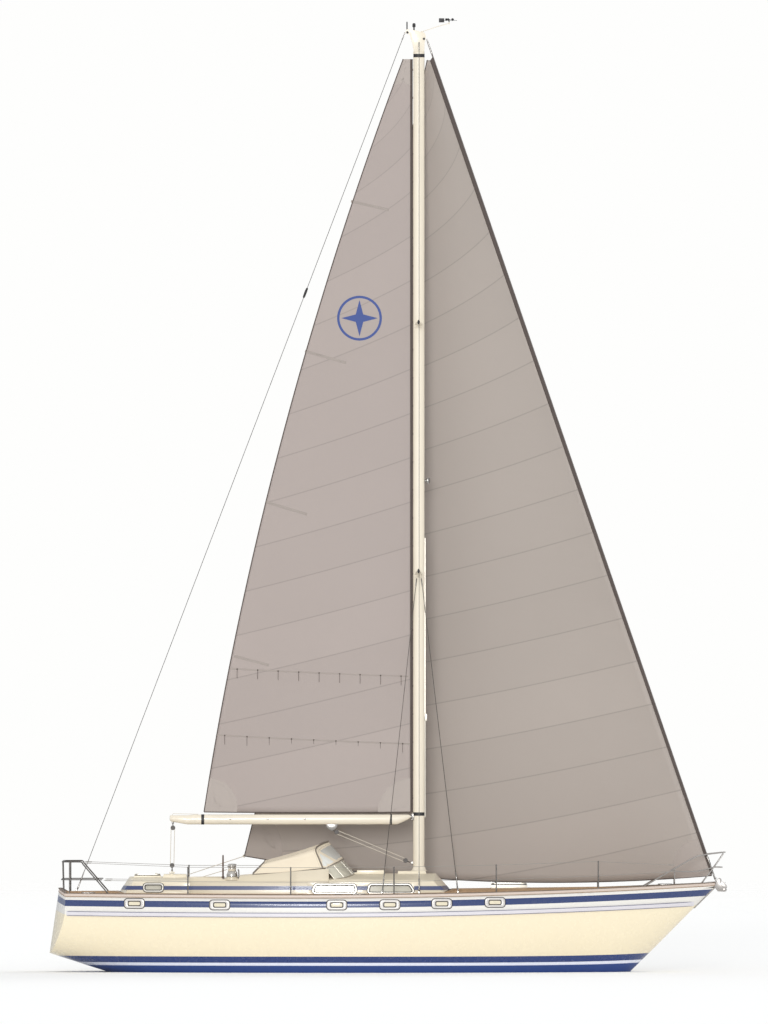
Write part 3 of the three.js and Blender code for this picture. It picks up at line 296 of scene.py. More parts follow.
def apply_modifiers(piece):
    """Turns a piece's modifiers into plain mesh."""
    depsgraph = bpy.context.evaluated_depsgraph_get()
    made = bpy.data.meshes.new_from_object(piece.evaluated_get(depsgraph), depsgraph=depsgraph)
    made.name = piece.name
    piece.modifiers.clear()
    piece.data = made
    return piece


def place(piece, body, slot, *replaced):
    """Rides a finished piece on its body, unless it crosses a joint, and hides the nodes it replaces. slot is
    not used.
    """
    if body:
        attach(piece, body)
    if replaced:
        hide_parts(*replaced)
    return piece


def hull_material():
    material = bpy.data.materials.new("hull gelcoat")
    nodes = Nodes(material)
    drop = nodes.add("ShaderNodeAttribute", attribute_name="below_deck_edge").outputs["Fac"]
    level = nodes.add("ShaderNodeAttribute", attribute_name="above_water").outputs["Fac"]
    where = nodes.add("ShaderNodeTexCoord").outputs["Object"]
    clouds = nodes.add("ShaderNodeTexNoise", {"Vector": where, "Scale": 0.7, "Detail": 5.0}).outputs["Fac"]
    grime = nodes.add("ShaderNodeTexNoise", {"Vector": where, "Scale": 9.0, "Detail": 8.0}).outputs["Fac"]
    white, blue = colour(222, 219, 213), colour(40, 57, 104)
    cream = nodes.blend(nodes.maths("MULTIPLY", clouds, 0.5), colour(234, 222, 194), colour(228, 215, 184))
    upper = nodes.steps(drop, [(0.0, white), (BAND[0], blue), (BAND[1], white)])
    topsides = nodes.blend(nodes.maths("GREATER_THAN", drop, STRAKE[1] - 0.02), upper, cream)
    boot = nodes.steps(level, [(0.0, colour(40, 67, 128)), (BOOT["antifouling"], colour(226, 229, 240)),
                               (BOOT["white_top"], colour(38, 58, 112))])
    painted = nodes.blend(nodes.maths("LESS_THAN", level, BOOT["top"]), topsides, boot)
    stain = nodes.maths("MULTIPLY", nodes.maths("GREATER_THAN", grime, 0.62), 0.02)
    painted = nodes.blend(stain, painted, colour(150, 140, 118))
    under = nodes.maths("LESS_THAN", level, BOOT["antifouling"])
    rough = nodes.maths("ADD", nodes.maths("MULTIPLY", under, 0.45), nodes.maths("MULTIPLY", grime, 0.06))
    ripple = nodes.add("ShaderNodeBump", {"Height": clouds, "Strength": 0.06, "Distance": 0.05})
    paint = nodes.add("ShaderNodeBsdfPrincipled", {
        "Base Color": painted, "Roughness": nodes.maths("ADD", rough, 0.24), "Normal": ripple.outputs[0],
        "Coat Weight": 0.25, "Coat Roughness": 0.08})
    nodes.add("ShaderNodeOutputMaterial", {"Surface": paint.outputs[0]})
    return material


def hull_skin():
    """The outer skin: lines along the hull from transom to stem, and the transom between its edges."""
    turns = share(0.0, 1.0, 44)
    stations = [t ** 0.85 for t in share(0.0, 1.0, 100)]

    def line(turn, side):
        x = STERN_X
        for _ in range(12):
            edge = hull_point(x, turn, side)
            x = transom_x(edge.y, edge.z)
        return [hull_point(mix(x, BOW_X, s), turn, side) for s in stations]

    rows = [line(turn, -1) for turn in reversed(turns)] + [line(turn, 1) for turn in turns[1:]]
    skin = grid_mesh("hull_skin", rows)
    across = share(-1.0, 1.0, 24)
    transom = []
    for turn in turns:
        edge = line(turn, 1)[0]
        transom.append([Vector((transom_x(edge.y * s, edge.z), edge.y * s, edge.z)) for s in across])
    crown = [deck_height(edge.x, edge.y * s) for s in across]
    transom.append([Vector((transom_x(edge.y * s, z), edge.y * s, z)) for s, z in zip(across, crown)])
    bm = bmesh.new()
    bm.from_mesh(skin)
    bm.from_mesh(grid_mesh("transom", transom))
    bmesh.ops.remove_doubles(bm, verts=bm.verts, dist=2e-4)
    bmesh.ops.dissolve_degenerate(bm, edges=bm.edges, dist=1e-4)
    bmesh.ops.recalc_face_normals(bm, faces=bm.faces)
    if sum(f.normal.z * f.calc_area() for f in bm.faces if f.calc_center_median().z < 0) > 0:
        bmesh.ops.reverse_faces(bm, faces=bm.faces)
    bm.to_mesh(skin)
    bm.free()
    drop = skin.attributes.new("below_deck_edge", "FLOAT", "POINT")
    level = skin.attributes.new("above_water", "FLOAT", "POINT")
    for i, vertex in enumerate(skin.vertices):
        x, y, z = vertex.co
        on_transom = abs(x - transom_x(y, z)) < 1e-3
        drop.data[i].value = max(0.0, (deck_height(x, y) if on_transom else sheer(x)) - z)
        level.data[i].value = max(0.0, z - 0.05 * max(0.0, x / 5.3) ** 5)
    skin.shade_smooth()
    skin.set_sharp_from_angle(angle=math.radians(38))
    piece = link("hull_skin", skin, hull_material())
    shell = piece.modifiers.new("thickness", "SOLIDIFY")
    shell.thickness, shell.offset = 0.02, -1.0
    return apply_modifiers(piece)


def worked_copy(node, material, slot, ease=0.0, smooth_angle=35, name=None, shift=None):
    """A copy of a CAD node, its hard edges eased to a radius and its round faces smoothed."""
    source = frame["nodes"][node].data
    bm = bmesh.new()
    bm.from_mesh(source)
    bmesh.ops.remove_doubles(bm, verts=bm.verts, dist=2e-5)
    bmesh.ops.dissolve_limit(bm, angle_limit=math.radians(1.0), verts=bm.verts, edges=bm.edges)
    if shift:
        for vertex in bm.verts:
            vertex.co = shift(vertex.co)
    if ease:
        hard = [e for e in bm.edges if e.is_manifold and e.calc_face_angle() > math.radians(smooth_angle)]
        bmesh.ops.bevel(bm, geom=hard, offset=ease, offset_type="OFFSET", segments=3, profile=0.5,
                        affect="EDGES", clamp_overlap=True)
    mesh = bpy.data.meshes.new(name or node + "_finished")
    bm.to_mesh(mesh)
    bm.free()
    if "custom_normal" in mesh.attributes:
        mesh.attributes.remove(mesh.attributes["custom_normal"])
    mesh.shade_smooth()
    mesh.set_sharp_from_angle(angle=math.radians(smooth_angle))
    piece = link(mesh.name, mesh, material)
    return place(piece, body_of[node], slot, node)


place(hull_skin(), "hull", "topsides", "hull")


def inward(distance):
    """Moves a point of the hull's inner body away from the skin, so that the skin alone shows."""
    def move(co):
        wide = half_beam(max(-5.8, min(co.x, BOW_X)))
        narrow = 1 - distance / max(wide, 0.05)
        return Vector((co.x - 0.004 * math.copysign(1, co.x), co.y * narrow, co.z - 0.002))
    return move


def plain_finish(name, tint, rough, metal=0.0, bump=0.02, grain=60.0, variety=0.04, coat=0.0, scratch=0.0):
    """A finish with a slightly uneven colour, gloss and surface."""
    material = bpy.data.materials.new(name)
    nodes = Nodes(material)
    where = nodes.add("ShaderNodeTexCoord").outputs["Object"]
    clouds = nodes.add("ShaderNodeTexNoise", {"Vector": where, "Scale": 3.0, "Detail": 6.0}).outputs["Fac"]
    fine = nodes.add("ShaderNodeTexNoise", {"Vector": where, "Scale": grain, "Detail": 4.0}).outputs["Fac"]
    dark = tuple(c * (1 - 4 * variety) for c in tint[:3]) + (1.0,)
    base = nodes.blend(nodes.maths("MULTIPLY", clouds, 0.6), tint, dark)
    polish = nodes.maths("ADD", nodes.maths("MULTIPLY", fine, 0.16), rough - 0.06 + scratch)
    skin = nodes.add("ShaderNodeBump", {"Height": fine, "Strength": 1.0, "Distance": bump * 0.01})
    shader = nodes.add("ShaderNodeBsdfPrincipled", {
        "Base Color": base, "Roughness": polish, "Metallic": metal, "Normal": skin.outputs[0],
        "Coat Weight": coat, "Coat Roughness": 0.1})
    nodes.add("ShaderNodeOutputMaterial", {"Surface": shader.outputs[0]})
    return material


cabin_gelcoat = plain_finish("cabin gelcoat", colour(236, 230, 212), 0.5, variety=0.02)
worked_copy("hull", cabin_gelcoat, "gelcoat", shift=inward(0.012), name="hull_inner_body")

# ------------------------------------------------------------------ keel, skeg and rudder
# A cast fin keel bolted under the hull, a moulded skeg and a foil rudder on a stock, all in blue antifouling,
# which is rolled on and so is matt and a little patchy.
antifouling = plain_finish("antifouling", colour(52, 74, 136), 0.8, variety=0.05, grain=140.0, bump=0.08)
worked_copy("fin_keel", antifouling, "antifouling", ease=0.006)
worked_copy("skeg", antifouling, "antifouling", ease=0.006)
worked_copy("rudder", antifouling, "antifouling", ease=0.005)

# ------------------------------------------------------------------ propeller and shaft
# A three-bladed bronze propeller on its shaft, which runs in a cast bracket. A zinc collar sits on the shaft.
bronze = plain_finish("bronze", colour(176, 136, 76), 0.32, metal=1.0, variety=0.06, grain=200.0)
zinc = plain_finish("zinc", colour(150, 152, 154), 0.62, metal=0.6, variety=0.08, grain=160.0, bump=0.2)
worked_copy("propeller", bronze, "bronze", ease=0.002)
worked_copy("shaft_bracket", bronze, "bronze", ease=0.004)


class Shape:
    """Collects closed bodies and finishes them as one mesh."""

    def __init__(self):
        self.points, self.faces = [], []

    def rings(self, rings, ends=True, closed=True):
        """A skin through rings of points, each with as many points."""
        count, start = len(rings[0]), len(self.points)
        self.points += [tuple(p) for ring in rings for p in ring]
        for i in range(len(rings) - 1):
            here, there = start + i * count, start + (i + 1) * count
            for j in range(count if closed else count - 1):
                k = (j + 1) % count
                self.faces.append((here + j, here + k, there + k, there + j))
        if ends:
            self.faces.append(tuple(start + j for j in range(count)))
            self.faces.append(tuple(start + (len(rings) - 1) * count + j for j in reversed(range(count))))
        return self

    def tube(self, path, radius, sides=12):
        """A round bar along a path. The radius is one value, or one for each point."""
        path = [Vector(p) for p in path]
        radii = radius if isinstance(radius, (list, tuple)) else [radius] * len(path)
        normal, rings = None, []
        for i, spot in enumerate(path):
            along = (path[min(i + 1, len(path) - 1)] - path[max(i - 1, 0)]).normalized()
            if normal is None:
                normal = along.orthogonal().normalized()
            normal = (normal - along * normal.dot(along)).normalized()
            side = along.cross(normal)
            turn = [2 * math.pi * j / sides for j in range(sides)]
            rings.append([spot + radii[i] * (normal * math.cos(a) + side * math.sin(a)) for a in turn])
        return self.rings(rings)

    def turned(self, profile, at, axis=(0, 0, 1), sides=40):
        """A turned body: profile is (radius, height) from one end to the other."""
        along = Vector(axis).normalized()
        out = along.orthogonal().normalized()
        side = along.cross(out)
        turn = [2 * math.pi * j / sides for j in range(sides)]
        return self.rings([[Vector(at) + along * h + max(r, 1e-4) * (out * math.cos(a) + side * math.sin(a))
                            for a in turn] for r, h in profile])

    def block(self, low, high):
        """A square block between two corners."""
        (x0, y0, z0), (x1, y1, z1) = low, high
        ring = [(x0, y0), (x1, y0), (x1, y1), (x0, y1)]
        return self.rings([[(x, y, z) for x, y in ring] for z in (z0, z1)])

    def plate(self, outline, thickness):
        """A plate of a flat outline, as thick as a vector."""
        return self.rings([[Vector(p) for p in outline], [Vector(p) + Vector(thickness) for p in outline]])

    def mirrored(self):
        """Adds the same bodies on the other side of the boat."""
        count = len(self.points)
        self.points += [(x, -y, z) for x, y, z in self.points]
        self.faces += [tuple(i + count for i in reversed(face)) for face in self.faces]
        return self

    def finish(self, name, material, body, slot, *replaced, ease=0.0, angle=35):
        """Makes the piece: faces outwards, hard edges eased to a radius, the rest smooth."""
        mesh = bpy.data.meshes.new(name)
        mesh.from_pydata(self.points, [], self.faces)
        bm = bmesh.new()
        bm.from_mesh(mesh)
        bmesh.ops.remove_doubles(bm, verts=bm.verts, dist=2e-5)
        bmesh.ops.dissolve_degenerate(bm, edges=bm.edges, dist=2e-5)
        bmesh.ops.recalc_face_normals(bm, faces=bm.faces)
        if ease:
            hard = [e for e in bm.edges if e.is_manifold and e.calc_face_angle() > math.radians(angle)]
            bmesh.ops.bevel(bm, geom=hard, offset=ease, offset_type="OFFSET", segments=2, profile=0.5,
                            affect="EDGES", clamp_overlap=True)
        bm.to_mesh(mesh)
        bm.free()
        mesh.shade_smooth()
        mesh.set_sharp_from_angle(angle=math.radians(angle))
        return place(link(name, mesh, material), body, slot, *replaced)


def eased_path(points, parts=8):
    """A smooth path through points."""
    points = [Vector(p) for p in points]
    ends = [points[0] * 2 - points[1]] + points + [points[-1] * 2 - points[-2]]
    path = []
    for a, b, c, d in zip(ends, ends[1:], ends[2:], ends[3:]):
        for i in range(parts):
            t = i / parts
            path.append(0.5 * ((2 * b) + (c - a) * t + (2 * a - 5 * b + 4 * c - d) * t * t
                               + (3 * b - a - 3 * c + d) * t ** 3))
    return path + [points[-1]]


SHAFT_SLOPE = math.tan(math.radians(8))
PROPELLER_AT = Vector((-3.35, 0.0, -0.76))


def on_shaft(x):
    return Vector((x, 0.0, PROPELLER_AT.z + (x - PROPELLER_AT.x) * SHAFT_SLOPE))


collar = Shape()
collar.tube([on_shaft(x) for x in (-2.86, -2.85, -2.76, -2.75)], [0.026, 0.034, 0.034, 0.026], 24)
collar.finish("shaft_anode", zinc, "propeller", "steel")

# ------------------------------------------------------------------ engine
# The diesel under the cockpit is one plain painted block, for its place and its mass.
engine_paint = plain_finish("engine enamel", colour(92, 112, 108), 0.42, variety=0.05, grain=90.0, coat=0.3)
worked_copy("engine", engine_paint, "engine", ease=0.03)

# ------------------------------------------------------------------ deck
# The moulded deck carries laid teak: a broad covering board along the edge, narrow planks bent to the same
# curve up to the king plank in the middle, and margin boards round the deckhouse, all bedded in black
# caulking.
caulking = plain_finish("caulking", colour(58, 50, 44), 0.85, variety=0.05, grain=220.0, bump=0.1)
worked_copy("deck", caulking, "deck", shift=inward(0.006))

PLANK_WIDTH, PLANK_SEAM, PLANK_THICK = 0.047, 0.0045, 0.007
COVERING_BOARD = (0.052, 0.16)  # from the deck edge inwards
SIDE_DECK = 0.62
SIDE_LEAN = 0.12
MARGIN = 0.085
KING_PLANK = 0.13


def house_half(x, z=1.48):
    return half_beam(x) - SIDE_DECK - SIDE_LEAN * (z - 1.48)


def house_front(y):
    return 1.572 - 0.11 * y * y


def house_back(y):
    return -4.706 + 0.176 * y * y


def is_bare_deck(x, y):
    """Whether planks lie here: not under the deckhouse, the forehatch, the king plank or past the transom."""
    y = abs(y)
    on_hatch = 2.255 < x < 2.995 and y < 0.325
    in_house = house_back(y) - MARGIN < x < house_front(y) + MARGIN and y < house_half(x) + 0.02
    return x > transom_x(y, 1.45) + 0.06 and y > KING_PLANK / 2 and not on_hatch and not in_house


def teak_material(name, light, dark, grain_axis=0):
    """Weathered teak: long grain, plank-wise change of tone, and fine pores."""
    material = bpy.data.materials.new(name)
    nodes = Nodes(material)
    where = nodes.add("ShaderNodeTexCoord").outputs["Object"]
    scale = [22.0, 22.0, 22.0]
    scale[grain_axis] = 1.2
    long_way = nodes.add("ShaderNodeMapping", {"Vector": where, "Scale": scale}).outputs[0]
    grain = nodes.add("ShaderNodeTexNoise",
                      {"Vector": long_way, "Scale": 4.0, "Detail": 8.0}).outputs["Fac"]
    pores = nodes.add("ShaderNodeTexNoise",
                      {"Vector": long_way, "Scale": 22.0, "Detail": 4.0}).outputs["Fac"]
    clouds = nodes.add("ShaderNodeTexNoise", {"Vector": where, "Scale": 2.5, "Detail": 4.0}).outputs["Fac"]
    tone = nodes.add("ShaderNodeMapRange",
                     {"Value": grain, "From Min": 0.35, "From Max": 0.68}).outputs["Result"]
    base = nodes.blend(tone, light, dark)
    base = nodes.blend(nodes.maths("MULTIPLY", clouds, 0.35), base, colour(176, 164, 146))
    rough = nodes.maths("ADD", nodes.maths("MULTIPLY", pores, 0.3), 0.5)
    bump = nodes.add("ShaderNodeBump", {"Height": pores, "Strength": 0.5, "Distance": 0.0015})
    shader = nodes.add("ShaderNodeBsdfPrincipled", {"Base Color": base, "Roughness": rough,
                                                    "Normal": bump.outputs[0]})
    nodes.add("ShaderNodeOutputMaterial", {"Surface": shader.outputs[0]})
    return material


teak = teak_material("laid teak", colour(186, 150, 108), colour(138, 104, 70))


def grown(name, seeds, tree, values):
    """Runs a Geometry Nodes tree on a mesh and gives back its result as a plain piece."""
    piece = bpy.data.objects.new(name, seeds)
    scene.collection.objects.link(piece)
    modifier = piece.modifiers.new("grow", "NODES")
    modifier.node_group = tree
    for item in tree.interface.items_tree:
        if item.item_type == "SOCKET" and item.in_out == "INPUT" and item.name in values:
            modifier[item.identifier] = values[item.name]
    return apply_modifiers(piece)


def new_tree(name, **inputs):
    """An empty Geometry Nodes tree with a geometry in, a geometry out and named inputs."""
    tree = bpy.data.node_groups.new(name, "GeometryNodeTree")
    tree.interface.new_socket("Geometry", in_out="INPUT", socket_type="NodeSocketGeometry")
    for label, kind in inputs.items():
        tree.interface.new_socket(label.replace("_", " "), in_out="INPUT", socket_type="NodeSocket" + kind)
    tree.interface.new_socket("Geometry", in_out="OUTPUT", socket_type="NodeSocketGeometry")
    nodes = Nodes(tree)
    return tree, nodes, nodes.add("NodeGroupInput").outputs


def close_tree(nodes, geometry, material):
    """Ends a tree: instances made real, and the material set."""
    whole = nodes.add("GeometryNodeRealizeInstances", {"Geometry": geometry}).outputs[0]
    coated = nodes.add("GeometryNodeSetMaterial", {"Geometry": whole, "Material": material}).outputs[0]
    nodes.add("NodeGroupOutput", {"Geometry": coated})


def strip_tree():
    """Square strips laid flat along the edges of a mesh."""
    tree, nodes, given = new_tree("strips", Width="Float", Thickness="Float", Finish="Material")
    lines = nodes.add("GeometryNodeMeshToCurve", {"Mesh": given["Geometry"]}).outputs[0]
    upright = nodes.add("GeometryNodeSetCurveNormal", {"Curve": lines}, mode="Z_UP").outputs[0]
    section = nodes.add("GeometryNodeCurvePrimitiveQuadrilateral",
                        {"Width": given["Width"], "Height": given["Thickness"]}).outputs[0]
    strips = nodes.add("GeometryNodeCurveToMesh",
                       {"Curve": upright, "Profile Curve": section, "Fill Caps": True}).outputs[0]
    close_tree(nodes, strips, given["Finish"])
    return tree


def lines_mesh(name, paths):
    """A mesh of open lines, for a tree to grow on."""
    points, edges = [], []
    for path in paths:
        edges += [(len(points) + i, len(points) + i + 1) for i in range(len(path) - 1)]
        points += [tuple(p) for p in path]
    mesh = bpy.data.meshes.new(name)
    mesh.from_pydata(points, edges, [])
    return mesh


def plank_paths(inset, side, step=0.02, keep=6):
    """The stretches of one plank, which runs a fixed way in from the deck edge."""
    runs, run = [], []
    for x in share(-5.9, 6.4, int(12.3 / step)):
        y = half_beam(x) - inset
        if y > 0 and is_bare_deck(x, y):
            run.append(Vector((x, side * y, deck_height(x, y) + 0.001)))
        elif run:
            runs.append(run)
            run = []
    runs.append(run)
    return [r[:-1:keep] + [r[-1]] for r in runs if len(r) > keep]


strips = strip_tree()
pitch = PLANK_WIDTH + PLANK_SEAM
first = COVERING_BOARD[1] + PLANK_SEAM + PLANK_WIDTH / 2
narrow = [path for i in range(36) for side in (1, -1) for path in plank_paths(first + i * pitch, side)]
broad = [path for side in (1, -1) for path in plank_paths(sum(COVERING_BOARD) / 2, side)]


def along_deck(points, lift=0.001):
    return [Vector((x, y, deck_height(x, y) + lift)) for x, y in points]


boards = [along_deck([(house_front(y) + MARGIN / 2, y) for y in share(-1.27, 1.27, 24)]),
          along_deck([(house_back(y) - MARGIN / 2, y) for y in share(-0.95, 0.95, 20)])]
for x0, x1 in ((1.665, 2.25), (3.0, 6.2), (-5.76, -4.8)):
    boards.append(along_deck([(x, 0.0) for x in share(x0, x1, 12)], 0.0015))
for x in (2.255 - 0.03, 2.995 + 0.03):
    boards.append(along_deck([(x, y) for y in share(-0.36, 0.36, 8)], 0.002))
for side in (1, -1):
    boards.append(along_deck([(x, side * 0.328) for x in share(2.25, 3.0, 8)], 0.002))
for label, paths, width in (("deck_planks", narrow, PLANK_WIDTH),
                            ("covering_boards", broad, COVERING_BOARD[1] - COVERING_BOARD[0]),
                            ("deck_margins", boards, MARGIN)):
    laid = grown(label, lines_mesh(label, paths), strips,
                 {"Width": width, "Thickness": 2 * PLANK_THICK, "Finish": teak})
    laid.data.shade_flat()
    place(laid, "hull", "teak")

# ------------------------------------------------------------------ toe rail
# A low bulwark on the deck edge: a pale rail between a dark hardwood cap and a thin brown strip at its foot.
rail_wood = teak_material("dark hardwood", colour(104, 88, 78), colour(74, 60, 52))
rail_paint = plain_finish("rail paint", colour(206, 190, 178), 0.45, variety=0.04, grain=80.0)
strip_wood = teak_material("brown strip", colour(156, 128, 100), colour(118, 92, 68))


def round_the_deck(section):
    """Bodies along both deck edges and across the stern. section is (inset, height) points round a ring."""
    shape = Shape()
    for side in (1, -1):
        stations = share(-5.684, 5.6, 70) + share(5.7, 6.5, 14)
        shape.rings([[(x, side * max(half_beam(x) - inset, 0.0015), sheer(x) + up) for inset, up in section]
                     for x in stations])
    shape.rings([[(transom_x(y, deck_height(-5.7, y)) + inset, y, deck_height(-5.7, y) + up)
                  for inset, up in section] for y in share(-1.18, 1.18, 24)])
    return shape


def bar_section(outer, inner, low, high):
    return [(outer, low), (outer, high), (inner, high), (inner, low)]


round_the_deck(bar_section(-0.004, 0.052, -0.002, 0.012)).finish(
    "toe_rail_foot_strip", strip_wood, "hull", "teak", ease=0.002)
round_the_deck(bar_section(0.0, 0.048, 0.008, 0.06)).finish(
    "toe_rail_body", rail_paint, "hull", "teak", "toe_rail", ease=0.002)
round_the_deck(bar_section(-0.007, 0.055, 0.058, 0.074)).finish(
    "toe_rail_cap", rail_wood, "hull", "teak", ease=0.004)
nose = Shape().plate([(6.44, 0.062, 1.672), (6.53, 0.03, 1.684), (6.53, -0.03, 1.684),
                      (6.44, -0.062, 1.672)],
                     (0, 0, 0.012))
nose.finish("toe_rail_nose", rail_wood, "hull", "teak", ease=0.003)

# ------------------------------------------------------------------ rubbing strake
# A proud moulding along each side below the blue band, pale, with a fine dark line along each of its edges.
strake_paint = plain_finish("strake paint", colour(212, 209, 214), 0.3, variety=0.02, grain=50.0, coat=0.2)
line_paint = plain_finish("fine line", colour(92, 92, 122), 0.5, variety=0.04, grain=50.0)
STRAKE_ENDS = (-5.66, 6.09)


def along_side(section, x0, x1, side, taper=0.35):
    """A body along one side of the hull. section is (drop, proud) points round a ring."""
    rings = []
    for x in [x0, x0 + 0.03] + share(x0 + 0.12, x1 - taper, 90) + share(x1 - taper * 0.9, x1, 8):
        full = min(1.0, 0.25 + (x - x0) / 0.08, 0.25 + (x1 - x) / taper)
        rings.append([hull_side(x, drop, proud * (full if proud > 0 else 1), side)
                      for drop, proud in section])
    return rings


for label, side in (("port", 1), ("starboard", -1)):
    body = Shape().rings(along_side([(0.27, -0.012), (0.274, 0.014), (0.283, 0.021), (0.345, 0.021),
                                     (0.354, 0.014),
                                     (0.358, -0.012)], *STRAKE_ENDS, side))
    body.finish("rubbing_strake_face_" + label, strake_paint, "hull", "topsides", "rubbing_strake_" + label)
    lines = Shape()
    for drop in (0.271, 0.346):
        lines.rings(along_side([(drop, -0.002), (drop + 0.001, 0.0225), (drop + 0.010, 0.0225),
                                (drop + 0.011, -0.002)],
                               STRAKE_ENDS[0] + 0.01, STRAKE_ENDS[1] - 0.04, side))
    lines.finish("strake_lines_" + label, line_paint, "hull", "topsides")

# ------------------------------------------------------------------ portlights
# Six fixed portlights in each topside under the strake: a pale oval-cornered frame screwed through the hull,
# round a small pane set back in it.
PORTLIGHTS = [(-4.387, 1.295), (-2.79, 1.271), (-0.602, 1.271), (0.39, 1.276), (1.362, 1.295),
              (2.357, 1.317)]
PORT_OUTER, PORT_GLASS = (0.187, 0.09), (0.122, 0.05)
port_frame = plain_finish("portlight frame", colour(208, 204, 200), 0.35, metal=0.2, variety=0.03,
                          grain=90.0)
# Dark rubber for the portlight rings. The ring round the frame is a seal. The ring round the pane is a seal
# too, drawn wide and dark as painted shade of the recess.
seal_and_recess_shade_finish = plain_finish("portlight seals and painted shade", colour(46, 42, 40), 0.7, variety=0.05, grain=200.0)


def glazing(name, tint, clear=0.15, rough=0.08):
    """Tinted glass or acrylic: glossy, a little clear, with faint smears on it."""
    material = bpy.data.materials.new(name)
    nodes = Nodes(material)
    where = nodes.add("ShaderNodeTexCoord").outputs["Object"]
    smear = nodes.add("ShaderNodeTexNoise", {"Vector": where, "Scale": 7.0, "Detail": 6.0}).outputs["Fac"]
    dark = tuple(c * 0.8 for c in tint[:3]) + (1.0,)
    base = nodes.blend(smear, tint, dark)
    gloss = nodes.maths("ADD", nodes.maths("MULTIPLY", smear, 0.14), rough)
    pane = nodes.add("ShaderNodeBsdfPrincipled",
                     {"Base Color": base, "Roughness": gloss, "Coat Weight": 0.6,
                                                  "Coat Roughness": 0.03})
    through = nodes.add("ShaderNodeBsdfTransparent", {"Color": tuple(c * 0.9 for c in tint[:3]) + (1.0,)})
    shader = nodes.add("ShaderNodeMixShader", {0: clear, 1: pane.outputs[0], 2: through.outputs[0]})
    nodes.add("ShaderNodeOutputMaterial", {"Surface": shader.outputs[0]})
    return material


port_glass = glazing("portlight glass", colour(228, 218, 192), clear=0.0)


def rounded_outline(half_x, half_z, radius, parts=6):
    """The outline of a plate with round corners, as (x, z) about its middle."""
    outline = []
    for corner, (sx, sz) in enumerate(((1, 1), (-1, 1), (-1, -1), (1, -1))):
        for i in range(parts + 1):
            a = (corner + i / parts) * math.pi / 2
            outline.append((sx * (half_x - radius) + radius * math.cos(a),
                            sz * (half_z - radius) + radius * math.sin(a)))
    return outline


def on_topside(x, z, proud, side):
    return hull_side(x, sheer(x) - z, proud, side)


def frame_rings(surface, centre, layers):
    """Rings round an opening on a surface. Each layer is a half width, half height, radius and how proud."""
    return [[surface(centre[0] + dx, centre[1] + dz, proud) for dx, dz in rounded_outline(hx, hz, radius)]
            for hx, hz, radius, proud in layers]


def screw_tree():
    """Low screw heads on points, facing each point's way."""
    tree, nodes, given = new_tree("screws", Radius="Float", Height="Float", Finish="Material")
    head = nodes.add("GeometryNodeMeshCone",
                     {"Vertices": 10, "Radius Top": nodes.maths("MULTIPLY", given["Radius"], 0.55),
                                              "Radius Bottom": given["Radius"],
                                              "Depth": given["Height"]}).outputs[0]
    way = nodes.add("GeometryNodeInputNamedAttribute", {"Name": "facing"},
                    data_type="FLOAT_VECTOR").outputs[0]
    turn = nodes.add("FunctionNodeAlignRotationToVector", {"Vector": way}, axis="Z").outputs[0]
    spread = nodes.add("GeometryNodeInstanceOnPoints",
                       {"Points": given["Geometry"], "Instance": head, "Rotation": turn}).outputs[0]
    close_tree(nodes, spread, given["Finish"])
    return tree


def points_mesh(name, spots):
    """Loose points with a facing, given as (point, direction)."""
    mesh = bpy.data.meshes.new(name)
    mesh.from_pydata([tuple(spot) for spot, _ in spots], [], [])
    facing = mesh.attributes.new("facing", "FLOAT_VECTOR", "POINT")
    for i, (_, way) in enumerate(spots):
        facing.data[i].vector = way
    return mesh


screws = screw_tree()
steel = plain_finish("polished steel", colour(150, 147, 143), 0.24, metal=1.0, variety=0.05, grain=120.0)


def screwed(name, spots, body, radius=0.006, height=0.003):
    piece = grown(name, points_mesh(name, spots), screws,
                  {"Radius": radius, "Height": height, "Finish": steel})
    piece.data.shade_flat()
    return place(piece, body, "steel")


for label, side in (("port", 1), ("starboard", -1)):
    frames, seals_and_recess_shade, panes, heads = Shape(), Shape(), Shape(), []
    for centre in PORTLIGHTS:
        def surface(x, z, proud):
            return on_topside(x, z, proud, side)
        (ox, oz), (gx, gz) = PORT_OUTER, PORT_GLASS
        frames.rings(frame_rings(surface, centre, [
            (gx, gz, 0.028, -0.004), (gx, gz, 0.028, 0.007), (gx + 0.008, gz + 0.008, 0.034, 0.012),
            (ox - 0.014, oz - 0.014, 0.05, 0.012), (ox - 0.004, oz - 0.004, 0.058, 0.008),
                                                   (ox, oz, 0.06, -0.004),
            (gx, gz, 0.028, -0.004)]), ends=False)
        seals_and_recess_shade.rings(frame_rings(surface, centre, [
            (ox - 0.002, oz - 0.002, 0.06, -0.003), (ox - 0.002, oz - 0.002, 0.06, 0.006),
            (ox + 0.010, oz + 0.010, 0.068, 0.005), (ox + 0.011, oz + 0.011, 0.068, -0.003),
            (ox - 0.002, oz - 0.002, 0.06, -0.003)]), ends=False)
        # A wide dark ring over the pane's edge: a rubber seal, widened and darkened as painted shade inside
        # the recess round the pane.
        seals_and_recess_shade.rings(frame_rings(surface, centre, [
            (gx - 0.018, gz - 0.018, 0.020, 0.001), (gx - 0.016, gz - 0.016, 0.020, 0.006),
            (gx + 0.002, gz + 0.002, 0.028, 0.007), (gx + 0.002, gz + 0.002, 0.028, -0.002),
            (gx - 0.018, gz - 0.018, 0.020, 0.001)]), ends=False)
        panes.rings(frame_rings(surface, centre, [(gx, gz, 0.028, -0.003), (gx, gz, 0.028, 0.002),
                                                  (gx * 0.6, gz * 0.5, 0.02, 0.0035)]))
        for dx, dz in rounded_outline(ox - 0.03, oz - 0.03, 0.04, 1):
            heads.append((on_topside(centre[0] + dx, centre[1] + dz, 0.013, side), (0, side, 0)))
    frames.finish("portlight_frames_" + label, port_frame, "hull", "spar")
    seals_and_recess_shade.finish("portlight_gaskets_" + label, seal_and_recess_shade_finish, "hull", "canvas")
    panes.finish("portlight_panes_" + label, port_glass, "hull", "glass")
    screwed("portlight_screws_" + label, heads, "hull")

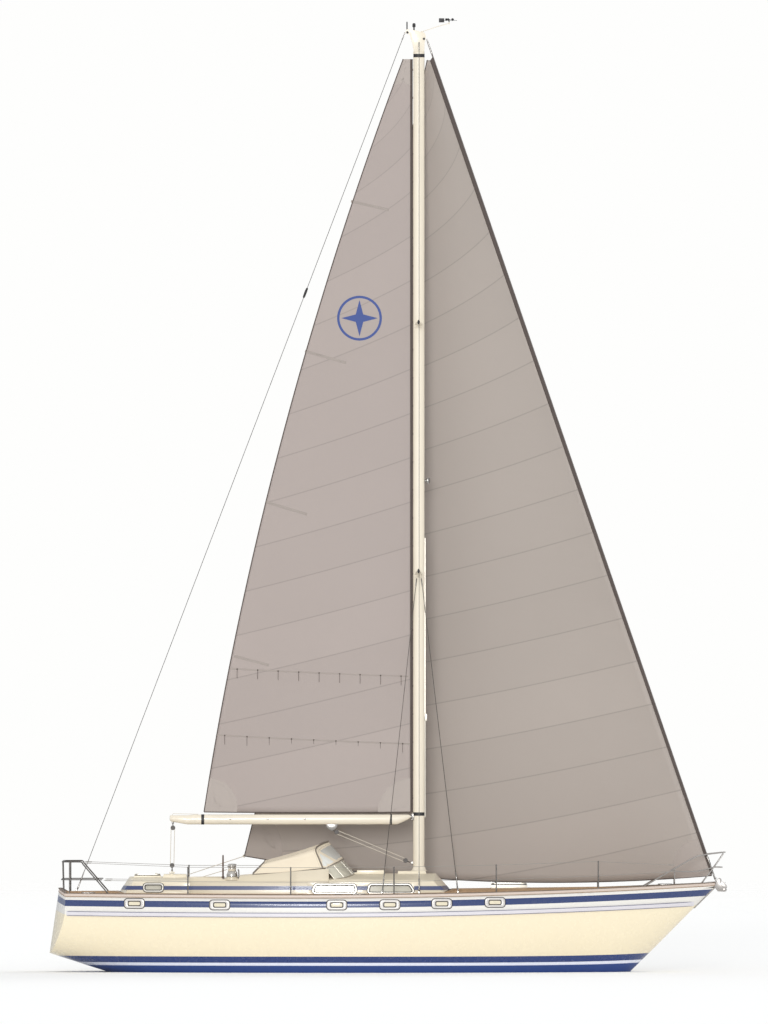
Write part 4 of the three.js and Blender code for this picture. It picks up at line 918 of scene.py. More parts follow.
# ------------------------------------------------------------------ deckhouse
# The coachroof, the cockpit and the aft cabin top are cream gelcoat mouldings with rolled edges, and sanded
# non-slip panels moulded into their tops. A blue tape runs along their sides and stops at each window.
def deckhouse_material(name, wall_tints):
    """Gelcoat: smooth walls of two near tints, and a gritty non-slip pattern where a face looks up."""
    material = bpy.data.materials.new(name)
    nodes = Nodes(material)
    where = nodes.add("ShaderNodeTexCoord").outputs["Object"]
    up = nodes.add("ShaderNodeSeparateXYZ",
                   {"Vector": nodes.add("ShaderNodeNewGeometry").outputs["Normal"]}).outputs["Z"]
    on_top = nodes.maths("GREATER_THAN", up, 0.97)
    clouds = nodes.add("ShaderNodeTexNoise", {"Vector": where, "Scale": 2.0, "Detail": 6.0}).outputs["Fac"]
    grit = nodes.add("ShaderNodeTexVoronoi", {"Vector": where, "Scale": 260.0}).outputs["Distance"]
    grip = nodes.maths("MULTIPLY", grit, on_top)
    wall = nodes.blend(nodes.maths("MULTIPLY", clouds, 0.5), *wall_tints)
    sanded = nodes.blend(grit, colour(206, 196, 172), colour(222, 212, 190))
    base = nodes.blend(nodes.maths("MULTIPLY", on_top, 0.8), wall, sanded)
    rough = nodes.maths("ADD", nodes.maths("MULTIPLY", on_top, 0.42), nodes.maths("MULTIPLY", clouds, 0.12))
    bump = nodes.add("ShaderNodeBump", {"Height": grip, "Strength": 0.5, "Distance": 0.003})
    shader = nodes.add("ShaderNodeBsdfPrincipled", {
        "Base Color": base, "Roughness": nodes.maths("ADD", rough, 0.24), "Normal": bump.outputs[0],
        "Coat Weight": 0.15, "Coat Roughness": 0.1})
    nodes.add("ShaderNodeOutputMaterial", {"Surface": shader.outputs[0]})
    return material


gelcoat = deckhouse_material("deckhouse gelcoat", (colour(232, 222, 199), colour(222, 211, 186)))
# The cockpit moulding is the deckhouse's own gelcoat in darker tints: painted shade that holds back the extra
# light its upward-leaning coaming face catches.
shade_painted_coaming_gelcoat = deckhouse_material("coaming gelcoat painted darker", (colour(214, 203, 180), colour(205, 193, 168)))
worked_copy("cockpit", shade_painted_coaming_gelcoat, "gelcoat", ease=0.008)
for node, ease in (("coachroof", 0.008), ("aft_cabin_top", 0.008), ("hatch_garage", 0.006),
                   ("mainsheet_traveller", 0.005)):
    worked_copy(node, gelcoat, "gelcoat", ease=ease)

TAPE = (1.544, 1.617)
TAPE_RUNS = [(-4.575, -4.215), (-3.855, -1.062), (-0.235, -0.03), (0.845, 1.40)]
WINDOWS = {  # corners along the bottom and the top of each side window
    "saloon_window_aft": ((-1.065, 1.494), (-0.24, 1.494), (-0.27, 1.64), (-0.995, 1.64)),
    "saloon_window_fore": ((-0.02, 1.494), (0.86, 1.494), (0.75, 1.64), (0.02, 1.64)),
    "aft_cabin_window": ((-4.2, 1.53), (-3.87, 1.53), (-3.87, 1.645), (-4.2, 1.645)),
}
blue_tape = plain_finish("blue tape", colour(42, 58, 108), 0.35, variety=0.03, grain=60.0, coat=0.3)


def on_house(x, z, proud, side):
    return Vector((x, side * (house_half(x, z) + proud), z))


tapes = Shape()
for side in (1, -1):
    for x0, x1 in TAPE_RUNS:
        slant_aft = 0.05 if x0 < -4.5 else 0.0
        slant_fore = -0.06 if x1 > 1 else 0.0
        rings = []
        for t in share(0.0, 1.0, 16):
            low, high = mix(x0, x1, t), mix(x0 + slant_aft, x1 + slant_fore, t)
            rings.append([on_house(low, TAPE[0], 0.0005, side), on_house(low, TAPE[0], 0.003, side),
                          on_house(high, TAPE[1], 0.003, side), on_house(high, TAPE[1], 0.0005, side)])
        tapes.rings(rings)
    for end, face in ((-1, lambda y, z: -4.666 + 0.67 * (z - 1.51) + 0.176 * y * y),
                      (1, lambda y, z: 1.555 - 0.877 * (z - 1.5) - 0.11 * y * y)):
        half = house_half(face(1.0, 1.58), 1.58) - 0.02
        rings = [[(face(y, z) + end * out, y, z) for z, out in ((TAPE[0], 0.001), (TAPE[0], 0.0035),
                                                               (TAPE[1], 0.0035), (TAPE[1], 0.001))]
                 for y in share(-half, half, 24)]
        if side > 0:
            tapes.rings(rings)
tapes.finish("deckhouse_tape", blue_tape, "hull", "topsides")

# ------------------------------------------------------------------ side windows
# Long fixed windows in the deckhouse: pale tinted panes in anodised frames with a dark rubber seal on both
# sides of the metal, screwed through the moulding.
window_metal = plain_finish("anodised frame", colour(196, 192, 184), 0.35, metal=0.7, variety=0.04,
                            grain=140.0)
rubber = plain_finish("black rubber", colour(44, 42, 42), 0.7, variety=0.05, grain=180.0, bump=0.05)
window_glass = glazing("window glass", colour(218, 214, 198), clear=0.12)


def rounded_corners(outline, radius, parts=6):
    """The outline with an arc of about a radius at every corner."""
    made = []
    count = len(outline)
    for i in range(count):
        before, corner, after = (Vector(outline[j % count]) for j in (i - 1, i, i + 1))
        to_before, to_after = (before - corner).normalized(), (after - corner).normalized()
        reach = radius / math.tan(to_before.angle(to_after) / 2)
        a, b = corner + to_before * reach, corner + to_after * reach
        for k in range(parts + 1):
            t = k / parts
            made.append(a * (1 - t) ** 2 + corner * 2 * t * (1 - t) * 0.94 + b * t * t + corner * 0.12 * t
                        * (1 - t))
    return made


def grow_outline(outline, by):
    """The outline moved outwards by a distance, square to its sides."""
    moved = []
    count = len(outline)
    for i in range(count):
        along = (Vector(outline[(i + 1) % count]) - Vector(outline[i - 1])).normalized()
        moved.append(Vector(outline[i]) + Vector((along.y, -along.x)) * by)
    return moved


for window, corners in WINDOWS.items():
    corner_radius = 0.045 if window == "aft_cabin_window" else 0.055
    for label, side in (("port", 1), ("starboard", -1)):
        line = rounded_corners(corners, corner_radius)

        def ring(by, proud):
            return [on_house(p.x, p.y, proud, side) for p in grow_outline(line, by)]
        Shape().rings([ring(-0.004, -0.014), ring(-0.004, 0.004), ring(-0.001, 0.009), ring(0.022, 0.009),
                       ring(0.026, 0.005), ring(0.026, -0.001), ring(-0.004, -0.014)], ends=False).finish(
            f"{window}_frame_{label}", window_metal, "hull", "spar")
        seals = Shape()
        for outer, inner, height in ((0.036, 0.0255, 0.005), (-0.0045, -0.018, 0.004)):
            seals.rings([ring(inner, -0.012 if outer < 0 else -0.001), ring(inner, height),
                         ring(outer, height),
                         ring(outer, -0.012 if outer < 0 else -0.001),
                         ring(inner, -0.012 if outer < 0 else -0.001)], ends=False)
        seals.finish(f"{window}_seal_{label}", rubber, "hull", "canvas")
        worked_copy(f"{window}_{label}", window_glass, "glass")
        screwed(f"{window}_screws_{label}",
                [(on_house(p.x, p.y, 0.0105, side), (0, side, 0.1))
                 for p in grow_outline(line, 0.0105)[::3]],
                "hull", radius=0.0045, height=0.0025)

# ------------------------------------------------------------------ hatches and washboard
# Aluminium deck hatches with smoked acrylic lids, a sliding companionway hatch of tinted acrylic under its
# garage, and a varnished teak washboard.
acrylic = glazing("smoked acrylic", colour(74, 80, 84), clear=0.12, rough=0.1)
alloy = plain_finish("hatch alloy", colour(206, 200, 188), 0.38, metal=0.75, variety=0.04, grain=120.0)
varnish = teak_material("varnished teak", colour(176, 120, 72), colour(126, 78, 44), grain_axis=1)
worked_copy("forehatch_frame", alloy, "gelcoat", ease=0.003)
worked_copy("forehatch_lid", acrylic, "tinted_acrylic", ease=0.003)
worked_copy("aft_hatch_lid", acrylic, "tinted_acrylic", ease=0.003)
worked_copy("companionway_hatch", acrylic, "tinted_acrylic", ease=0.004)
worked_copy("washboard", varnish, "teak", ease=0.003)


def lid_frame(name, body, x0, x1, half, z):
    """The metal rim, hinges and handles of a hatch's lid."""
    middle = (x0 + x1) / 2
    shape = Shape()
    outer, inner = rounded_outline((x1 - x0) / 2, half, 0.06), rounded_outline((x1 - x0) / 2 - 0.05,
                                                                               half - 0.05, 0.04)

    def loop(outline, height):
        return [(middle + x, y, height) for x, y in outline]
    shape.rings([loop(inner, z), loop(inner, z + 0.005), loop(outer, z + 0.004), loop(outer, z - 0.012),
                 loop(inner, z)], ends=False)
    for y in (-0.6 * half, 0.6 * half):
        shape.tube([(x0 + 0.004, y - 0.045, z + 0.004), (x0 + 0.004, y + 0.045, z + 0.004)], 0.007)
        shape.turned([(0.0, 0.004), (0.022, 0.004), (0.022, 0.010), (0.014, 0.016), (0.0, 0.016)],
                     (x1 - 0.075, y, z), sides=20)
    shape.finish(name, alloy, body, "gelcoat")


lid_frame("forehatch_rim", "forehatch_lid", 2.297, 2.953, 0.283, 1.655)
lid_frame("aft_hatch_rim", "aft_hatch_lid", -4.388, -3.912, 0.278, 1.829)
pull = Shape().tube(eased_path([(-0.70, -0.07, 1.881), (-0.70, -0.06, 1.906), (-0.70, 0.06, 1.906),
                                (-0.70, 0.07, 1.881)]),
                    0.006)
pull.finish("companionway_hatch_pull", steel, "companionway_hatch", "steel")

def roof_height(edge, crown, x, y):
    half = house_half(x, edge)
    return edge + (crown - edge) * (1 - (y / half) ** 2)


# ------------------------------------------------------------------ cockpit
# Laid teak on the seats, the sole and the lids of the lockers, cut from straight planks with caulked seams,
# and a cushion-free ledge with the coaming round it.
straight_teak = teak_material("cockpit teak", colour(190, 152, 106), colour(146, 110, 72))


def straight_planks(name, body, x0, x1, y0, y1, z, pitch=0.05):
    count = max(1, round((y1 - y0) / pitch))
    step = (y1 - y0) / count
    paths = [[(x, y0 + step * (i + 0.5), z) for x in share(x0, x1, 4)] for i in range(count)]
    laid = grown(name, lines_mesh(name, paths), strips,
                 {"Width": step - PLANK_SEAM, "Thickness": 0.008, "Finish": straight_teak})
    laid.data.shade_flat()
    return place(laid, body, "teak")


for label, side in (("port", 1), ("starboard", -1)):
    worked_copy("locker_lid_" + label, caulking, "teak", ease=0.002)
    y0, y1 = sorted((side * 0.482, side * 0.888))
    straight_planks("locker_planks_" + label, "locker_lid_" + label, -2.24, -1.16, y0, y1, 1.151)
    y0, y1 = sorted((side * 0.44, side * 0.90))
    straight_planks("seat_planks_aft_" + label, "hull", -2.97, -2.262, *sorted((side * 0.44, side * 0.86)),
                    1.151)
    straight_planks("seat_planks_fore_" + label, "hull", -1.138, -0.77, y0, y1, 1.151)
straight_planks("cockpit_grating", "hull", -2.96, -0.84, -0.38, 0.38, 0.705, 0.055)
battens = lines_mesh("grating_battens", [[(x, y, 0.7035) for y in share(-0.385, 0.385, 4)]
                                         for x in share(-2.93, -0.87, 14)])
place(grown("grating_battens", battens, strips,
            {"Width": 0.03, "Thickness": 0.006, "Finish": straight_teak}),
      "hull", "teak").data.shade_flat()

# ------------------------------------------------------------------ steering
# A moulded pedestal with a domed compass and a grab bar, and a stainless wheel with a stitched leather rim,
# which is coupled to the rudder.
worked_copy("steering_pedestal", gelcoat, "gelcoat", ease=0.012)
compass_dome = glazing("compass dome", colour(60, 66, 72), clear=0.05)
leather = plain_finish("rim leather", colour(96, 66, 46), 0.6, variety=0.07, grain=220.0, bump=0.15)
WHEEL = Vector((-2.736, 0.0, 1.744))
WHEEL_RADIUS = 0.43
compass = Shape().turned([(0.0, -0.004), (0.082, -0.004), (0.082, 0.01)] + [
    (0.078 * math.cos(a), 0.01 + 0.055 * math.sin(a)) for a in share(0.0, math.pi / 2, 8)],
                         (-2.56, 0, 1.80))
compass.finish("compass_dome", compass_dome, "hull", "glass")
guard = Shape()
guard.tube(eased_path([(-2.44, -0.16, 1.0), (-2.44, -0.16, 1.80), (-2.45, -0.12, 1.90), (-2.45, 0.12, 1.90),
                       (-2.44, 0.16, 1.80), (-2.44, 0.16, 1.0)]), 0.0125)
guard.turned([(0.0, -0.006), (0.095, -0.006), (0.098, 0.0), (0.095, 0.008), (0.0, 0.008)], (-2.56, 0, 1.80))
for y in (-0.15, 0.15):
    guard.tube([(-2.44, y, 0.705), (-2.44, y, 0.715)], 0.03, 16)
    guard.tube([(-2.44, y, 0.705), (-2.44, y * 1.06, 1.05)], 0.0125)
guard.finish("pedestal_guard", steel, "hull", "steel")

wheel = Shape()
turn = share(0.0, 2 * math.pi, 72)[:-1]
wheel.rings([[WHEEL + Vector((0.0105 * math.sin(b), (WHEEL_RADIUS + 0.0105 * math.cos(b)) * math.cos(a),
                              (WHEEL_RADIUS + 0.0105 * math.cos(b)) * math.sin(a)))
              for b in share(0.0, 2 * math.pi, 12)[:-1]] for a in turn + [turn[0]]], ends=False)
wheel.turned([(0.0, -0.03), (0.03, -0.03), (0.045, -0.018), (0.045, 0.018), (0.036, 0.028), (0.0, 0.028)],
             WHEEL, (1, 0, 0))
for a in share(0.0, 2 * math.pi, 6)[:-1]:
    out = Vector((0.0, math.sin(a), math.cos(a)))
    wheel.tube([WHEEL + out * r for r in (0.03, 0.12, 0.3, WHEEL_RADIUS)], [0.009, 0.008, 0.0065, 0.006])
wheel.finish("steering_wheel_metal", steel, "steering_wheel", "steel", "steering_wheel")
cover = Shape()
for first_turn in share(0.0, 2 * math.pi, 6)[:-1]:
    arc = share(first_turn + 0.03, first_turn + math.pi / 3 - 0.03, 16)
    cover.rings([[WHEEL + Vector((0.0135 * math.sin(b), (WHEEL_RADIUS + 0.0135 * math.cos(b)) * math.sin(a),
                                  (WHEEL_RADIUS + 0.0135 * math.cos(b)) * math.cos(a)))
                  for b in share(0.0, 2 * math.pi, 12)[:-1]] for a in arc])
cover.finish("wheel_leather", leather, "steering_wheel", "canvas")


def stitch_tree():
    """Short threads laid end to end along lines, with gaps."""
    tree, nodes, given = new_tree("stitches", Length="Float", Gauge="Float", Finish="Material")
    lines = nodes.add("GeometryNodeMeshToCurve", {"Mesh": given["Geometry"]}).outputs[0]
    spread = nodes.add("GeometryNodeResampleCurve",
                       {"Curve": lines, "Length": nodes.maths("MULTIPLY", given["Length"], 1.6)},
                       mode="LENGTH").outputs[0]
    way = nodes.add("GeometryNodeInputTangent").outputs[0]
    turned = nodes.add("FunctionNodeAlignRotationToVector", {"Vector": way}, axis="Z").outputs[0]
    thread = nodes.add("GeometryNodeMeshCylinder", {"Vertices": 6, "Radius": given["Gauge"],
                                                    "Depth": given["Length"]}).outputs[0]
    laid = nodes.add("GeometryNodeInstanceOnPoints",
                     {"Points": spread, "Instance": thread, "Rotation": turned}).outputs[0]
    close_tree(nodes, laid, given["Finish"])
    return tree


stitches = stitch_tree()
thread = plain_finish("waxed thread", colour(226, 216, 196), 0.7, variety=0.05, grain=300.0)


def stitched(name, paths, body, length=0.012, gauge=0.0012, finish=thread):
    piece = grown(name, lines_mesh(name, paths), stitches,
                  {"Length": length, "Gauge": gauge, "Finish": finish})
    piece.data.shade_flat()
    return place(piece, body, "canvas")


rim = WHEEL_RADIUS - 0.0137
stitched("wheel_stitches", [[WHEEL + Vector((0.0, rim * math.sin(a), rim * math.cos(a)))
                             for a in share(0.0, 2 * math.pi, 96)]], "steering_wheel", length=0.008,
         gauge=0.001)

# ------------------------------------------------------------------ primary winches
# Self-tailing sheet winches on turned bases: a ribbed waist that grips the rope, a crown with jaws and a
# socket for the handle.
WINCH_X = -2.567
WINCH_Y = house_half(WINCH_X, 1.48) - 0.145
WINCH_FOOT = 1.787
winch_metal = plain_finish("winch chrome", colour(202, 198, 192), 0.22, metal=0.9, variety=0.04, grain=90.0)
for label, side in (("port", 1), ("starboard", -1)):
    foot = Vector((WINCH_X, side * WINCH_Y, WINCH_FOOT))
    drum = Shape().turned([
        (0.0, 0.0), (0.084, 0.0), (0.096, 0.01), (0.096, 0.055), (0.088, 0.066), (0.066, 0.092),
                           (0.057, 0.13),
        (0.058, 0.165), (0.072, 0.182), (0.085, 0.190), (0.086, 0.196), (0.07, 0.199), (0.07, 0.203),
                           (0.086, 0.206),
        (0.084, 0.213), (0.06, 0.222), (0.02, 0.226), (0.02, 0.206), (0.0, 0.206)], foot, sides=64)
    for a in share(0.0, 2 * math.pi, 28)[:-1]:
        out = Vector((math.cos(a), math.sin(a), 0.0))
        drum.tube([foot + out * r + Vector((0, 0, h)) for r, h in ((0.084, 0.07), (0.0665, 0.094),
                                                                   (0.0585, 0.13),
                                                                   (0.0595, 0.162))], 0.0028, 6)
    drum.finish("winch_drum_finished_" + label, winch_metal, "winch_drum_" + label, "steel",
                "winch_drum_" + label)
    wraps = Shape()
    wraps.tube([foot + Vector((0.066 * math.cos(a), 0.066 * math.sin(a), 0.105 + 0.0125 * a / 2 / math.pi))
                for a in share(0.0, 7 * math.pi, 84)], 0.006, 8)
    wraps.finish("winch_rope_wraps_" + label, thread, "winch_drum_" + label, "canvas")

# ------------------------------------------------------------------ windscreen
# A curved screen of pale panes round the front of the cockpit, in an alloy frame with upright bars, let over
# the hatch garage. Its top edge carries the sprayhood.
SCREEN_TOP = (Vector((-0.483, 0.0, 2.101)), Vector((-0.805, 1.085, 1.944)))
SCREEN_FOOT = (Vector((-0.206, 0.0, 1.8)), Vector((-0.608, 1.118, 1.7)))
SCREEN_BARS = (-0.72, -0.36, 0.36, 0.72)
GARAGE_HALF, GARAGE_TOP = 0.388, 1.907
screen_glass = glazing("screen glass", colour(228, 224, 206), clear=0.22)


def screen_edge(u, edge):
    centre, corner = edge
    bend, out = 1 - math.cos(abs(u) * math.pi / 2), math.sin(abs(u) * math.pi / 2)
    return Vector((mix(centre.x, corner.x, bend), math.copysign(corner.y * out, u),
                   mix(centre.z, corner.z, bend)))


def screen_point(u, v, proud=0.0):
    low, high = screen_edge(u, SCREEN_FOOT), screen_edge(u, SCREEN_TOP)
    spot = low.lerp(high, v)
    return spot + Vector((proud * math.cos(u * math.pi / 2), proud * math.sin(u * math.pi / 2), 0.0))


def screen_foot(u):
    """How far up the screen its foot lies: on the roof, or over the garage."""
    for v in share(0.0, 1.0, 120):
        spot = screen_point(u, v)
        rest = roof_height(1.717, 1.842, spot.x, spot.y)
        if abs(spot.y) < GARAGE_HALF:
            rest = GARAGE_TOP
        if spot.z > rest + 0.003:
            return v
    return 1.0


across_screen = share(-1.0, 1.0, 72)
feet = [screen_foot(u) for u in across_screen]
panes = Shape().rings([[screen_point(u, mix(foot, 1.0, t), 0.003 * s) for s in (1, -1) for t in
                        (share(0.0, 1.0, 6) if s > 0 else share(1.0, 0.0, 6))]
                       for u, foot in zip(across_screen, feet)])
panes.finish("windscreen_panes", screen_glass, "hull", "glass", "windscreen")
bars = Shape()
bars.tube([screen_point(u, 1.0) for u in across_screen], 0.012, 12)
bars.tube([screen_point(u, foot + 0.02) for u, foot in zip(across_screen, feet)], 0.009, 10)
for u in SCREEN_BARS + (-1.0, 1.0):
    bars.tube([screen_point(u, v) for v in share(screen_foot(u), 1.0, 6)], 0.010, 10)
bars.finish("windscreen_frame", alloy, "hull", "spar")

# ------------------------------------------------------------------ sprayhood
# Cream canvas stretched over two steel bows from the windscreen's top edge. Its edges are bound in grey, and
# the panels are sewn together over the bows.
canvas = plain_finish("cream canvas", colour(232, 219, 196), 0.85, variety=0.03, grain=420.0, bump=0.12)
binding = plain_finish("grey binding", colour(124, 114, 102), 0.8, variety=0.05, grain=300.0, bump=0.1)
HOOD_MAIN = (Vector((-0.862, 1.15, 1.948)), Vector((-1.012, 1.05, 2.312)), Vector((-0.765, 0.0, 2.44)))
HOOD_AFT = (Vector((-2.181, 1.088, 1.836)), Vector((-1.975, 1.01, 2.04)), Vector((-1.935, 0.0, 2.085)))


def bow_curve(foot, corner, middle):
    """The half of a bow from its foot to the middle, evenly eased round its corner."""
    knots = [foot, foot.lerp(corner, 0.55), corner.lerp(foot, 0.12), corner.lerp(middle, 0.1),
             corner.lerp(middle, 0.5) + Vector((0, 0, 0.018)), middle]
    knots = [knots[0] * 2 - knots[1]] + knots + [knots[-1] * 2 - knots[-2]]

    def at(s):
        place_on = min(s, 0.99999) * (len(knots) - 3)
        i, t = int(place_on), place_on % 1
        p0, p1, p2, p3 = knots[i:i + 4]
        d0, d1, d2 = (math.sqrt((b - a).length) for a, b in ((p0, p1), (p1, p2), (p2, p3)))
        leave = ((p1 - p0) / d0 - (p2 - p0) / (d0 + d1) + (p2 - p1) / d1) * d1
        arrive = ((p2 - p1) / d1 - (p3 - p1) / (d1 + d2) + (p3 - p2) / d2) * d1
        return p1 + leave * t + (3 * (p2 - p1) - 2 * leave - arrive) * t * t + (2 * (p1 - p2) + leave
                                                                                + arrive) * t ** 3
    return at


main_bow, aft_bow = bow_curve(*HOOD_MAIN), bow_curve(*HOOD_AFT)


def over(half, s):
    """A point of a whole bow: s runs from 0 at the port foot over to 1 at the starboard foot."""
    spot = half(2 * s if s < 0.5 else 2 - 2 * s)
    return Vector((spot.x, spot.y if s < 0.5 else -spot.y, spot.z))


def hood_point(across, along):
    """across runs over the hood from port, and along runs from the windscreen at 0 to the aft bow at 1."""
    fore = screen_edge(1 - 2 * across, SCREEN_TOP) + Vector((0.0, 0.0, 0.012))
    main, aft = over(main_bow, across), over(aft_bow, across)
    bow_at = 0.22
    if along < bow_at:
        t = along / bow_at
        spot, sag = fore.lerp(main, t), 0.006 * bulge(t)
    else:
        t = (along - bow_at) / (1 - bow_at)
        spot, sag = main.lerp(aft, t), 0.016 * bulge(t)
    crease = 0.003 * math.sin(46 * across + 9 * along) * bulge(t) * (1.5 - math.sin(math.pi * across))
    return spot - Vector((0.0, 0.0, sag + crease))


def bulge(t):
    return 4 * t * (1 - t)


def area_of(surface, columns=40, rows=80):
    """The area of a surface(across, up), which is what the cloth measures flat."""
    grid = [[surface(a, u) for a in share(0.0, 1.0, columns)] for u in share(0.0, 1.0, rows)]
    total = 0.0
    for low, high in zip(grid, grid[1:]):
        for i in range(columns):
            total += (low[i + 1] - low[i]).cross(high[i] - low[i]).length / 2
            total += (high[i] - high[i + 1]).cross(low[i + 1] - high[i + 1]).length / 2
    return total


def length_of(path):
    return sum((b - a).length for a, b in zip(path, path[1:]))


def cloth_piece(name, surface, columns, rows, material, thickness):
    """Cloth: a fine grid over surface(across, up) with a cloth UV map, given its thickness."""
    grid = [[surface(a, u) for a in share(0.0, 1.0, columns)] for u in share(0.0, 1.0, rows)]
    mesh = grid_mesh(name, grid)
    uv = mesh.uv_layers.new(name="cloth")
    for loop in mesh.loops:
        row, column = divmod(loop.vertex_index, columns + 1)
        uv.data[loop.index].uv = (column / columns, row / rows)
    mesh.shade_smooth()
    piece = link(name, mesh, material)
    cloth = piece.modifiers.new("thickness", "SOLIDIFY")
    cloth.thickness, cloth.offset = thickness, 0.0
    return apply_modifiers(piece)


hood = cloth_piece("sprayhood_canvas", hood_point, 72, 44, canvas, 0.003)
place(hood, "hull", "canvas", "sprayhood")
piping = Shape()
whole = share(0.0, 1.0, 96)
piping.tube([over(main_bow, s) + Vector((0, 0, 0.002)) for s in whole], 0.013, 10)
piping.tube([over(aft_bow, s) for s in whole], 0.009, 10)
piping.tube([hood_point(s, 0.0) for s in whole], 0.008, 10)
for s in (0.0, 1.0):
    piping.tube([hood_point(s, t) for t in share(0.0, 1.0, 30)], 0.008, 10)
piping.finish("sprayhood_binding", binding, "hull", "canvas")
hood_seams = [[hood_point(s, t) + Vector((0.0, 0.0, 0.003)) for s in whole] for t in (0.19, 0.25, 0.96)]
for s in (0.3, 0.7):
    hood_seams.append([hood_point(s, t) + Vector((0.0, 0.0, 0.003)) for t in share(0.02, 0.98, 40)])
stitched("sprayhood_stitches", hood_seams, "hull", length=0.014, gauge=0.0016, finish=binding)
vinyl = glazing("hood window", colour(233, 234, 228), clear=0.0, rough=0.16)


def off_hood(across, along, proud):
    """A point that stands off the hood's outer face."""
    spot, step = hood_point(across, along), 0.004
    over_it = hood_point(min(across + step, 1.0), along) - hood_point(max(across - step, 0.0), along)
    back = hood_point(across, along + step) - hood_point(across, along - step)
    return spot + over_it.cross(back).normalized() * proud


windows = Shape()
for start, end in ((0.03, 0.20), (0.27, 0.73), (0.80, 0.97)):
    windows.rings([[off_hood(s, t, proud) for t, proud in (
        (0.020, -0.001), (0.022, 0.005), (0.10, 0.006), (0.182, 0.005), (0.184, -0.001))]
        for s in share(start, end, 20)])
windows.finish("sprayhood_windows", vinyl, "hull", "glass")
bows = Shape()
for half in (main_bow, aft_bow):
    bows.tube([over(half, s) - Vector((0.0, 0.0, 0.014)) for s in share(0.02, 0.98, 60)], 0.009, 10)
bows.finish("sprayhood_bows", steel, "hull", "steel")
hood_width = length_of([over(main_bow, s) for s in whole])
hood_length = length_of([hood_point(0.5, t) for t in share(0.0, 1.0, 40)])
area_of(hood_point)

# ------------------------------------------------------------------ pulpit, pushpit and guardrails
# Welded stainless tube on flanged feet at the bow and the stern, and five stanchions a side that carry two
# lifelines of plastic-covered wire.
rail_steel = plain_finish("rail tube", colour(104, 101, 98), 0.28, metal=1.0, variety=0.05, grain=140.0)
RAIL_INSET = 0.09
TUBE_RADIUS = 0.0125
STANCHIONS = (-3.384, -1.462, 0.468, 2.38, 4.291)
LIFELINES = (0.56, 0.29)


def rail_foot(x, side=1):
    y = half_beam(x) - RAIL_INSET
    return Vector((x, side * y, deck_height(x, y)))


def mirrored_path(path):
    return path + [Vector((p.x, -p.y, p.z)) for p in reversed(path)]


def footed(shape, foot):
    """A flanged foot with its collar."""
    shape.turned([(0.0, -0.002), (0.034, -0.002), (0.034, 0.006), (0.03, 0.009), (0.019, 0.010),
                  (0.017, 0.045),
                  (0.0, 0.045)], foot, sides=24)


pulpit_tube = plain_finish("pulpit tube", colour(166, 162, 158), 0.3, metal=0.8, variety=0.05, grain=140.0)
pulpit = Shape()
bow_foot, fore_foot, side_foot = rail_foot(5.048), Vector((6.19, 0.1,
                                                           deck_height(6.19, 0.1))), rail_foot(5.72)
top = eased_path([bow_foot, (6.0, 0.425, 2.095), (6.24, 0.37, 2.185), (6.56, 0.23, 2.228),
                  (6.67, 0.13, 2.24)], 10)
step_height = eased_path([(6.455, 0.158, 1.96), (6.6, 0.12, 1.958), (6.6, -0.12, 1.958),
                          (6.455, -0.158, 1.96)], 6)
pulpit.tube(mirrored_path(top), TUBE_RADIUS, 14)
pulpit.tube(step_height, TUBE_RADIUS, 14)
for side in (1, -1):
    def over_there(path):
        return [Vector((p[0], side * p[1], p[2])) for p in path]
    pulpit.tube(eased_path(over_there([fore_foot, (6.48, 0.16, 1.985), (6.64, 0.17, 2.215)]), 8),
                TUBE_RADIUS, 14)
    pulpit.tube(eased_path(over_there([(5.64, 0.562, 1.888), (6.1, 0.33, 1.88), (6.45, 0.15, 1.952)]), 8),
                0.010, 14)
    pulpit.tube(over_there([side_foot, (5.72, 0.52, 1.95)]), TUBE_RADIUS, 14)
    for foot in (bow_foot, fore_foot, side_foot):
        footed(pulpit, over_there([foot])[0])
pulpit.finish("pulpit_rails", pulpit_tube, "hull", "steel", "pulpit")

pushpit = Shape()
stern_foot, corner_foot = rail_foot(-4.831), rail_foot(-5.6)
wide = corner_foot.y
top_z, middle_z = 2.069, 1.735
top = [stern_foot, stern_foot.lerp(Vector((-5.388, wide + 0.04, top_z)), 0.93)] + eased_path(
    [(-5.37, wide + 0.041, top_z - 0.008), (-5.41, wide + 0.036, top_z), (-5.6, wide - 0.01, top_z),
     (-5.70, wide - 0.06, top_z), (-5.735, wide - 0.12, top_z)], 6)
pushpit.tube(mirrored_path(top), TUBE_RADIUS, 14)
low = eased_path([(-4.99, wide + 0.128, middle_z), (-5.388, wide + 0.048, middle_z),
                  (-5.65, wide - 0.005, middle_z),
                  (-5.752, wide - 0.12, middle_z)], 8)
pushpit.tube(mirrored_path(low), 0.010, 14)
for side in (1, -1):
    pushpit.tube([(corner_foot.x, side * wide, corner_foot.z), (-5.6, side * (wide - 0.01), top_z)],
                 TUBE_RADIUS, 14)
    stern_deck = deck_height(-5.72, 0.42)
    pushpit.tube([(-5.72, side * 0.42, stern_deck), (-5.735, side * 0.42, top_z)], TUBE_RADIUS, 14)
    for foot in (stern_foot, corner_foot, Vector((-5.72, 0.42, stern_deck))):
        footed(pushpit, (foot.x, side * foot.y, foot.z))
pushpit.finish("pushpit_rails", rail_steel, "hull", "steel", "pushpit")

